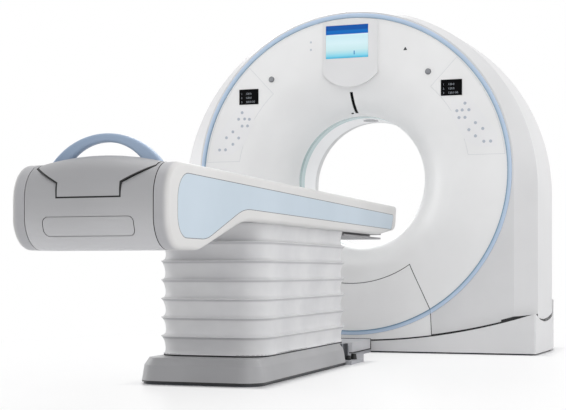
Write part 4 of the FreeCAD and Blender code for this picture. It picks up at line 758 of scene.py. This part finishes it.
def bellows_sleeve():
    """Pleated sleeve of coated cloth: thin welded ridges, hollow swags between them."""
    pitch = (BELLOWS_TOP - BELLOWS_FOOT) / PLEATS
    form = bmesh.new()
    sleeve_outline(form)
    shade_below_ridge = form.verts.layers.float.new("shade_below_ridge")
    ring = list(form.verts)
    outward = {v: (outward_from_core(v.co), v.co.copy()) for v in ring}
    edges = list(form.edges)
    for number, (rise, deep) in enumerate(sleeve_levels()):
        if number:
            made = bmesh.ops.extrude_edge_only(form, edges=edges)["geom"]
            fresh = [g for g in made if isinstance(g, bmesh.types.BMVert)]
            edges = [
                g for g in made
                if isinstance(g, bmesh.types.BMEdge) and g.verts[0] in fresh and g.verts[1] in fresh
            ]
            # each new point starts on the one below it, and is matched with it by its place
            near = {(round(v.co.x, 5), round(v.co.y, 5)): outward[v] for v in ring}
            outward = {v: near[(round(v.co.x, 5), round(v.co.y, 5))] for v in fresh}
            ring = fresh
        pleat = int(rise)
        within = min(1, max(0, rise - pleat))
        soft = math.sin(math.pi * within) if 0 < rise < PLEATS else 0
        for vert in ring:
            # painted shade just below each ridge
            vert[shade_below_ridge] = RIDGE_SHADE_SHARE.get(round(rise - pleat, 3), 0.0)
            away, start = outward[vert]
            # a slow drift along each pleat, and fine creases that change from ring to ring
            lively = noise.noise(Vector((start.x * 4, start.y * 2.5, pleat * 7.3)))
            fine = noise.noise(Vector((start.x * 16, start.y * 9, rise * 3.1)))
            inward = deep * (SWAG_DEEP + SWAG_DRIFT * lively) - soft * CREASE_DEEP * fine
            vert.co = start - away * max(0.0, inward)
            vert.co.z = BELLOWS_FOOT + max(rise * pitch, 4 * MM) + soft * SAG * lively
    form.normal_update()
    bmesh.ops.recalc_face_normals(form, faces=form.faces)
    # the sleeve is open at both ends, so its outside is told by its rightmost face
    rightmost = max(form.faces, key=lambda f: f.calc_center_median().x)
    if rightmost.normal.x < 0:
        bmesh.ops.reverse_faces(form, faces=form.faces)
    made = piece("bellows_sleeve", form, FINISH["coated_cloth"], smooth=True)
    soften = made.modifiers.new("soft", "SUBSURF")
    soften.levels = soften.render_levels = 1
    wall = made.modifiers.new("cloth", "SOLIDIFY")
    wall.thickness = 2.0 * MM
    wall.offset = -1.0
    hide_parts("bellows")
    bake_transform(made)


def bellows_clamp():
    """Black frame that clamps the sleeve on the base."""
    inside = 12 * MM
    low, high, wide = 107.5 * MM, 117.5 * MM, 24 * MM
    form = bmesh.new()
    made = bmesh.ops.create_grid(form, x_segments=1, y_segments=1, size=1.0)["verts"]
    bmesh.ops.scale(form, vec=(BELLOWS_HALF - inside, BELLOWS_LONG - inside, 1), verts=made)
    bmesh.ops.translate(form, vec=(0, BELLOWS_MID, low), verts=made)
    bmesh.ops.bevel(
        form, geom=made, offset=BELLOWS_ROUND - inside, segments=8, profile=0.5,
        affect="VERTICES", material=-1,
    )
    plate = list(form.faces)
    bmesh.ops.inset_region(
        form, faces=plate, thickness=wide, use_boundary=True, use_even_offset=True
    )
    bmesh.ops.delete(form, geom=plate, context="FACES")
    thickened(form, list(form.faces), (0, 0, high - low))
    eased(form, 0.8 * MM, 1)
    piece("bellows_foot_clamp", form, FINISH["black_rubber"], "stationary_base")


# ---------- small pieces of the gantry's front and bore ----------


def readout_figures():
    """Rows of small grey figures on the two readouts."""
    rows = [("1", "120.0"), ("2", "120.0"), ("3", "120.0 50")]
    # share of the readout's width at which a column starts, and its letters' size
    columns = [(0.10, 15 * MM), (0.34, 16.5 * MM)]
    relief, first_row, row_step = 0.15 * MM, 32 * MM, 24 * MM
    for side in ("left", "right"):
        low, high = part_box(side + "_readout")
        form = bmesh.new()
        for number, words in enumerate(rows):
            base = high[2] - first_row - number * row_step
            for word, (share, size) in zip(words, columns):
                letters = bpy.data.curves.new("figures", "FONT")
                letters.body = word
                letters.size = size
                letters.extrude = relief
                letters.resolution_u = 2
                holder = bpy.data.objects.new("figures", letters)
                bpy.context.collection.objects.link(holder)
                bpy.context.view_layer.update()
                flat = bpy.data.meshes.new_from_object(holder)
                start = (low[0] + (high[0] - low[0]) * share, low[1] - relief, base)
                flat.transform(
                    Matrix.Translation(start) @ Matrix.Rotation(math.radians(90), 4, "X")
                )
                form.from_mesh(flat)
                bpy.data.objects.remove(holder)
        piece(side + "_readout_figures", form, FINISH["figure_grey"], "tilting_gantry")


def pad_on(form, x, z, radius, meet, high, low=-0.2 * MM, segments=24):
    """Small flat pad on the front surface, from low behind it to high in front of it."""
    spot, normal = meet(x, z)
    turn = normal.to_track_quat("Z", "Y").to_matrix().to_4x4()
    made = bmesh.ops.create_circle(
        form, cap_ends=True, segments=segments, radius=radius
    )["verts"]
    faces = list({f for v in made for f in v.link_faces})
    verts = list(made) + thickened(form, faces, (0, 0, high - low))
    bmesh.ops.translate(form, vec=(0, 0, low), verts=verts)
    bmesh.ops.transform(form, matrix=Matrix.Translation(spot) @ turn, verts=verts)


def button_collars():
    """Rubber collars round the push buttons: radius and place along Y of their section, in mm."""
    section = [(15.6, -0.5), (17.2, -0.5), (17.2, -1.2), (16.8, -1.9), (16.0, -1.9), (15.6, -1.3)]
    for side in ("left", "right"):
        low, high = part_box(side + "_button")
        x, z = (low[0] + high[0]) / 2, (low[2] + high[2]) / 2
        form = bmesh.new()
        verts = [form.verts.new((x + a * MM, b * MM, z)) for a, b in section]
        edges = [form.edges.new((verts[i - 1], verts[i])) for i in range(len(verts))]
        bmesh.ops.spin(
            form, geom=verts + edges, cent=(x, 0, z), axis=(0, 1, 0), angle=math.tau, steps=40,
            use_merge=True,
        )
        bmesh.ops.remove_doubles(form, verts=form.verts, dist=1e-6)
        bmesh.ops.recalc_face_normals(form, faces=form.faces)
        name = side + "_button_collar"
        piece(name, form, FINISH["black_rubber"], "tilting_gantry", smooth=True)


def front_marks():
    """Pointer mark, mode lamps and the sensor beside the laser slot."""
    meet = front_of("front_cover", "screen_bezel")
    form = bmesh.new()
    pad_on(form, x=0.325, z=1.732, radius=13 * MM, meet=meet, high=0.8 * MM, segments=3)
    piece("pointer_mark", form, FINISH["dark_powder_coat"], "tilting_gantry")
    form = bmesh.new()
    for lamp_z in (1.802, 1.758):
        pad_on(form, x=-0.239, z=lamp_z, radius=6.5 * MM, meet=meet, high=0.5 * MM)
    piece("mode_lamps", form, FINISH["lamp_white"], "tilting_gantry")
    form = bmesh.new()
    pad_on(form, x=-0.035, z=1.400, radius=8 * MM, meet=meet, high=1.0 * MM, low=-0.3 * MM)
    piece("slot_sensor", form, FINISH["smoked_acrylic"], "tilting_gantry")


def laser_lens():
    """Grey lens of the positioning laser, let into the top of the bore."""
    half_wide, half_long, thick, sunk = 46 * MM, 55 * MM, 4 * MM, 3.4 * MM
    lens_y, top = 0.475, BORE_HIGH + BORE_RADIUS
    form = bmesh.new()
    bmesh.ops.create_circle(form, cap_ends=True, segments=36, radius=1.0)
    thickened(form, list(form.faces), (0, 0, 1))
    bmesh.ops.scale(form, vec=(half_wide, half_long, thick), verts=form.verts)
    bmesh.ops.translate(form, vec=(0, lens_y, top - sunk), verts=form.verts)
    bmesh.ops.recalc_face_normals(form, faces=form.faces)
    piece("bore_laser_lens", form, FINISH["lens_grey"], "tilting_gantry")


# ---------- beads and gaskets in the seams ----------


def bead_rows(lid, form, axis, inner, outer, proud):
    """Two points of a bead for each point of a lid's outline, square to the outline."""
    away = {}
    for edge in (e for e in lid.edges if e.is_boundary):
        loop = edge.link_loops[0]
        along = loop.link_loop_next.vert.co - loop.vert.co
        out = along.cross(edge.link_faces[0].normal).normalized()
        for vert in edge.verts:
            away.setdefault(vert, []).append(out)
    rows = {}
    for vert, outs in away.items():
        mean = sum(outs, Vector()).normalized()
        # the mitre at a corner grows to twice the bead's width at most
        mean /= max(0.5, mean.dot(outs[0]))
        start = vert.co + axis * proud
        rows[vert] = (form.verts.new(start - mean * inner), form.verts.new(start + mean * outer))
    return rows


BEAD_THICK = 1.0 * MM


def seam_bead(node, name, finish, body, axis, width, proud, bare=None, least=0.5):
    """Bead along the outline of the faces of a node that look along an axis.

    Its width is what lies within the outline and what lies beyond it. It has no bead where
    bare says so, and least is how squarely a face has to look along the axis to count.
    """
    axis = Vector(axis)
    lid = bmesh.new()
    lid.from_mesh(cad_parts[node].data)
    bmesh.ops.remove_doubles(lid, verts=lid.verts, dist=1e-6)
    lid.normal_update()
    hidden = [f for f in lid.faces if f.normal.dot(axis) < least]
    bmesh.ops.delete(lid, geom=hidden, context="FACES")
    form = bmesh.new()
    rows = bead_rows(lid, form, axis, *width, proud)
    for edge in (e for e in lid.edges if e.is_boundary):
        first, second = edge.verts
        if bare is None or not bare((first.co + second.co) / 2):
            corners = (rows[first][0], rows[first][1], rows[second][1], rows[second][0])
            form.faces.new(corners)
    lid.free()
    loose = [v for v in form.verts if not v.link_faces]
    bmesh.ops.delete(form, geom=loose, context="VERTS")
    bmesh.ops.recalc_face_normals(form, faces=form.faces)
    thickened(form, list(form.faces), -axis * BEAD_THICK)
    bmesh.ops.recalc_face_normals(form, faces=form.faces)
    piece(name, form, FINISH[finish], body)


def off_the_seam(spot):
    """Along the trim ring and along the plinth the lower cover has no bead."""
    ring_inner, ring_outer, plinth_swing = 0.893, 0.942, 0.950
    foot_top, foot_half = 0.2, 0.45
    ring = math.hypot(spot.x, spot.z - RING_HIGH)
    swing = math.hypot(spot.y - TILT_Y, spot.z - BORE_HIGH)
    at_foot = spot.z < foot_top and abs(spot.x) < foot_half
    return ring_inner < ring < ring_outer or swing > plinth_swing or at_foot


def seam_beads():
    """Beads of the couch insets, the lower cover and the foot cap, gaskets of the panels."""
    flank, cap_top = 0.2895, 0.818
    for side, sign in (("left", -1), ("right", 1)):
        seam_bead(
            side + "_side_inset", side + "_inset_bead", "bead_grey", "lifting_couch",
            (sign, 0, 0), (0, 2.3 * MM), 0.1 * MM, lambda spot: abs(spot.x) < flank,
        )
        seam_bead(
            side + "_control_panel", side + "_panel_gasket", "gasket_grey", "tilting_gantry",
            (0, -1, 0), (0, 2.2 * MM), -0.05 * MM,
        )
    seam_bead(
        "lower_front_cover", "lower_cover_bead", "black_rubber", "tilting_gantry",
        (0, -1, 0), (0.9 * MM, 3.1 * MM), 0.4 * MM, off_the_seam,
    )
    # the cap closes on this seal, which stays on the housing
    seam_bead(
        "foot_cap", "foot_cap_seal", "black_rubber", "lifting_couch",
        (0, -1, 0), (1.2 * MM, 4.3 * MM), 0.2 * MM, lambda spot: spot.z > cap_top, least=0.05,
    )


# ---------- link to the couch, back of the plinth ----------


def link_fittings():
    """End cap and seals of the cable duct, and the posts and levelling feet beside it."""
    cap_half, cap_front, cap_back, cap_top = 0.1355, -0.445, -0.294, 0.0772
    form = bmesh.new()
    slab(form, (-cap_half, cap_front, LINK_PLATE_TOP), (cap_half, cap_back, cap_top))
    eased(form, 4 * MM)
    piece("duct_end_cap", form, FINISH["link_grey"], "stationary_base")
    # one seal goes round the duct's end at the plinth, one lies along its foot
    seal_low, end_half, foot_half = LINK_PLATE_TOP - 0.3 * MM, 0.1365, 0.1372
    foot_front, end_front, end_back = -0.4460, -0.0565, -0.0485
    end_top, foot_top = 0.0785, 0.0235
    form = bmesh.new()
    slab(form, (-end_half, end_front, seal_low), (end_half, end_back, end_top))
    slab(form, (-foot_half, foot_front, seal_low), (foot_half, end_front, foot_top))
    eased(form, 0.8 * MM, 1)
    piece("duct_seals", form, FINISH["black_rubber"], "stationary_base")
    form = bmesh.new()
    rows, off, half_x, half_y, top = (-0.951, -0.921, -0.891), 0.2265, 7 * MM, 6 * MM, 98 * MM
    for y in rows:
        for x in (-off, off):
            low = (x - half_x, y - half_y, LINK_PLATE_TOP)
            slab(form, low, (x + half_x, y + half_y, top))
    eased(form, 1.5 * MM)
    piece("link_posts", form, FINISH["dark_powder_coat"], "stationary_base")
    # place off the centre plane and along Y, radius and top of each foot
    feet = ((0.250, -0.935, 0.014, 0.040), (0.262, -0.880, 0.016, 0.046))
    form = bmesh.new()
    for side in (-1, 1):
        for x, y, radius, top in feet:
            made = bmesh.ops.create_cone(
                form, cap_ends=True, segments=24, radius1=radius, radius2=radius * 0.8,
                depth=top - LINK_PLATE_TOP,
            )["verts"]
            middle = (top + LINK_PLATE_TOP) / 2
            bmesh.ops.translate(form, vec=(side * x, y, middle), verts=made)
    eased(form, 1.0 * MM)
    piece("levelling_feet", form, FINISH["black_rubber"], "stationary_base")


def plinth_vents():
    """Two louvred air inlets on the back of the plinth."""
    places = (-0.55, 0.55)
    frame_half, frame_in, frame_out, frame_low, frame_top = 0.165, 0.6995, 0.7045, 0.036, 0.112
    slat_half, slat_in, slat_out = 0.150, 0.7040, 0.7085
    slats, lowest, slat_step, slat_tall = 4, 0.046, 15.5 * MM, 8 * MM
    form = bmesh.new()
    for x in places:
        slab(form, (x - frame_half, frame_in, frame_low), (x + frame_half, frame_out, frame_top))
    eased(form, 1.5 * MM)
    piece("vent_frames", form, FINISH["tray_grey"], "stationary_base")
    form = bmesh.new()
    for x in places:
        for row in range(slats):
            z = lowest + row * slat_step
            slab(form, (x - slat_half, slat_in, z), (x + slat_half, slat_out, z + slat_tall))
    eased(form, 1.2 * MM)
    piece("vent_slats", form, FINISH["dark_powder_coat"], "stationary_base")


# ---------- room, light and camera ----------

# upright boxes that stand on the floor: half width, middle and half length
FOOTPRINTS = {
    "couch_base": (0.270, -1.655, 0.675),
    "plinth": (1.100, 0.330, 0.375),
    "link": (0.290, -0.890, 0.110),
}
WORLD_LEVEL = 0.507
# name, place, aim, width, height, watts
LAMPS = [
    ("left_box", (-6.5, -1.0, 2.5), (0.0, -1.0, 0.8), 3.5, 3.5, 140),
    ("top_box", (0.0, -1.2, 5.5), (0.0, -1.2, 0.5), 4.0, 4.0, 100),
    ("back_box", (-2.0, 5.0, 3.5), (0.0, 0.8, 1.0), 3.0, 3.0, 80),
    ("right_rear_box", (5.5, 3.5, 3.0), (0.5, 0.0, 0.9), 3.5, 3.5, 86),
    ("right_box", (6.5, -1.0, 2.5), (0.0, -1.0, 0.8), 3.5, 3.5, 51),
    ("front_right_box", (4.5, -6.5, 4.0), (0.0, -1.0, 0.9), 3.5, 3.5, 82),
    ("front_left_box", (-4.5, -6.0, 4.5), (0.0, -1.0, 0.9), 3.5, 3.5, 18),
    ("low_card", (2.6, -4.6, 0.30), (0.4, 0.0, 0.8), 1.6, 1.2, 14),
]


def white_floor():
    """Pale floor that the camera sees fade to the backdrop's white away from the machine."""
    material, tree, shader, place = finish_of("studio_floor", "#F4F4F5", 0.30)
    tone = mottle(tree, place, 2.0, "#F3F3F4", "#F6F6F7")
    tree.links.new(tone, shader.inputs["Base Color"])
    path = add_node(tree, "ShaderNodeLightPath")
    glow = add_node(
        tree, "ShaderNodeEmission", {"Color": linear("#FFFFFF"), "Strength": 1.0}
    )
    # the fade runs along ovals round the machine's middle; contact is the dark rim's width
    middle, oval, fade_start, fade_end = (0, -1.0, 0), (1.3, 0.75, 0), 0.9, 3.2
    contact = 90 * MM
    away = add_node(
        tree, "ShaderNodeMapRange",
        {"From Min": fade_start, "From Max": fade_end, "To Min": 0.68, "To Max": 1.0},
        {"Value": reach_from(tree, place, middle, oval)}, interpolation_type="SMOOTHSTEP",
    )
    seen = add_node(
        tree, "ShaderNodeMath", links={0: away.outputs[0], 1: path.outputs["Is Camera Ray"]},
        operation="MULTIPLY",
    )
    # the contact shadow round what stands on the floor stays dark
    for footprint in FOOTPRINTS.values():
        fade = add_node(
            tree, "ShaderNodeMapRange", {"From Min": 0.0, "From Max": contact},
            {"Value": beyond_box(tree, place, *footprint)}, interpolation_type="SMOOTHERSTEP",
        )
        seen = add_node(
            tree, "ShaderNodeMath", links={0: seen.outputs[0], 1: fade.outputs[0]},
            operation="MULTIPLY",
        )
    mix = add_node(
        tree, "ShaderNodeMixShader",
        links={0: seen.outputs[0], 1: shader.outputs[0], 2: glow.outputs[0]},
    )
    out = [n for n in tree.nodes if n.bl_idname == "ShaderNodeOutputMaterial"][0]
    tree.links.new(mix.outputs[0], out.inputs["Surface"])
    form = bmesh.new()
    bmesh.ops.create_grid(form, x_segments=1, y_segments=1, size=30.0)
    floor = piece("studio_floor", form, material)


def white_room():
    """World that lights softly and that the camera and glossy surfaces see as white."""
    world = bpy.data.worlds.new("studio")
    bpy.context.scene.world = world
    world.use_nodes = True
    tree = world.node_tree
    tree.nodes.clear()
    soft, white = (
        add_node(
            tree, "ShaderNodeBackground", {"Color": linear("#FFFFFF"), "Strength": level}
        )
        for level in (WORLD_LEVEL, 1.0)
    )
    path = add_node(tree, "ShaderNodeLightPath")
    seen = add_node(
        tree, "ShaderNodeMath",
        links={0: path.outputs["Is Camera Ray"], 1: path.outputs["Is Glossy Ray"]},
        operation="MAXIMUM",
    )
    mix = add_node(
        tree, "ShaderNodeMixShader",
        links={0: seen.outputs[0], 1: soft.outputs[0], 2: white.outputs[0]},
    )
    add_node(tree, "ShaderNodeOutputWorld", links={"Surface": mix.outputs[0]})


def soft_boxes():
    """Large lamps round the machine and a small card near the floor."""
    for name, place, aim, wide, tall, watts in LAMPS:
        lamp = bpy.data.lights.new(name, "AREA")
        lamp.shape = "RECTANGLE"
        lamp.size = wide
        lamp.size_y = tall
        lamp.energy = watts
        holder = bpy.data.objects.new(name, lamp)
        holder.location = place
        facing = Vector(aim) - Vector(place)
        holder.rotation_euler = facing.to_track_quat("-Z", "Y").to_euler()
        bpy.context.collection.objects.link(holder)


def camera():
    """The photograph's view: level, from low beyond the couch's foot, to the machine's right."""
    eye, turned = (1.946, -7.010, 0.460), 18.587
    lens = bpy.data.cameras.new("photo_view")
    lens.sensor_width = 36.0
    lens.lens = 79.8
    lens.shift_y = 0.118
    lens.clip_end = 200.0
    holder = bpy.data.objects.new("photo_view", lens)
    holder.location = eye
    holder.rotation_euler = (math.radians(90), 0, math.radians(turned))
    bpy.context.collection.objects.link(holder)
    bpy.context.scene.camera = holder


bpy.context.scene.view_settings.view_transform = "Standard"
camera()
bellows_sleeve()
bellows_clamp()
readout_figures()
button_collars()
front_marks()
laser_lens()
seam_beads()
link_fittings()
plinth_vents()
white_floor()
white_room()
soft_boxes()
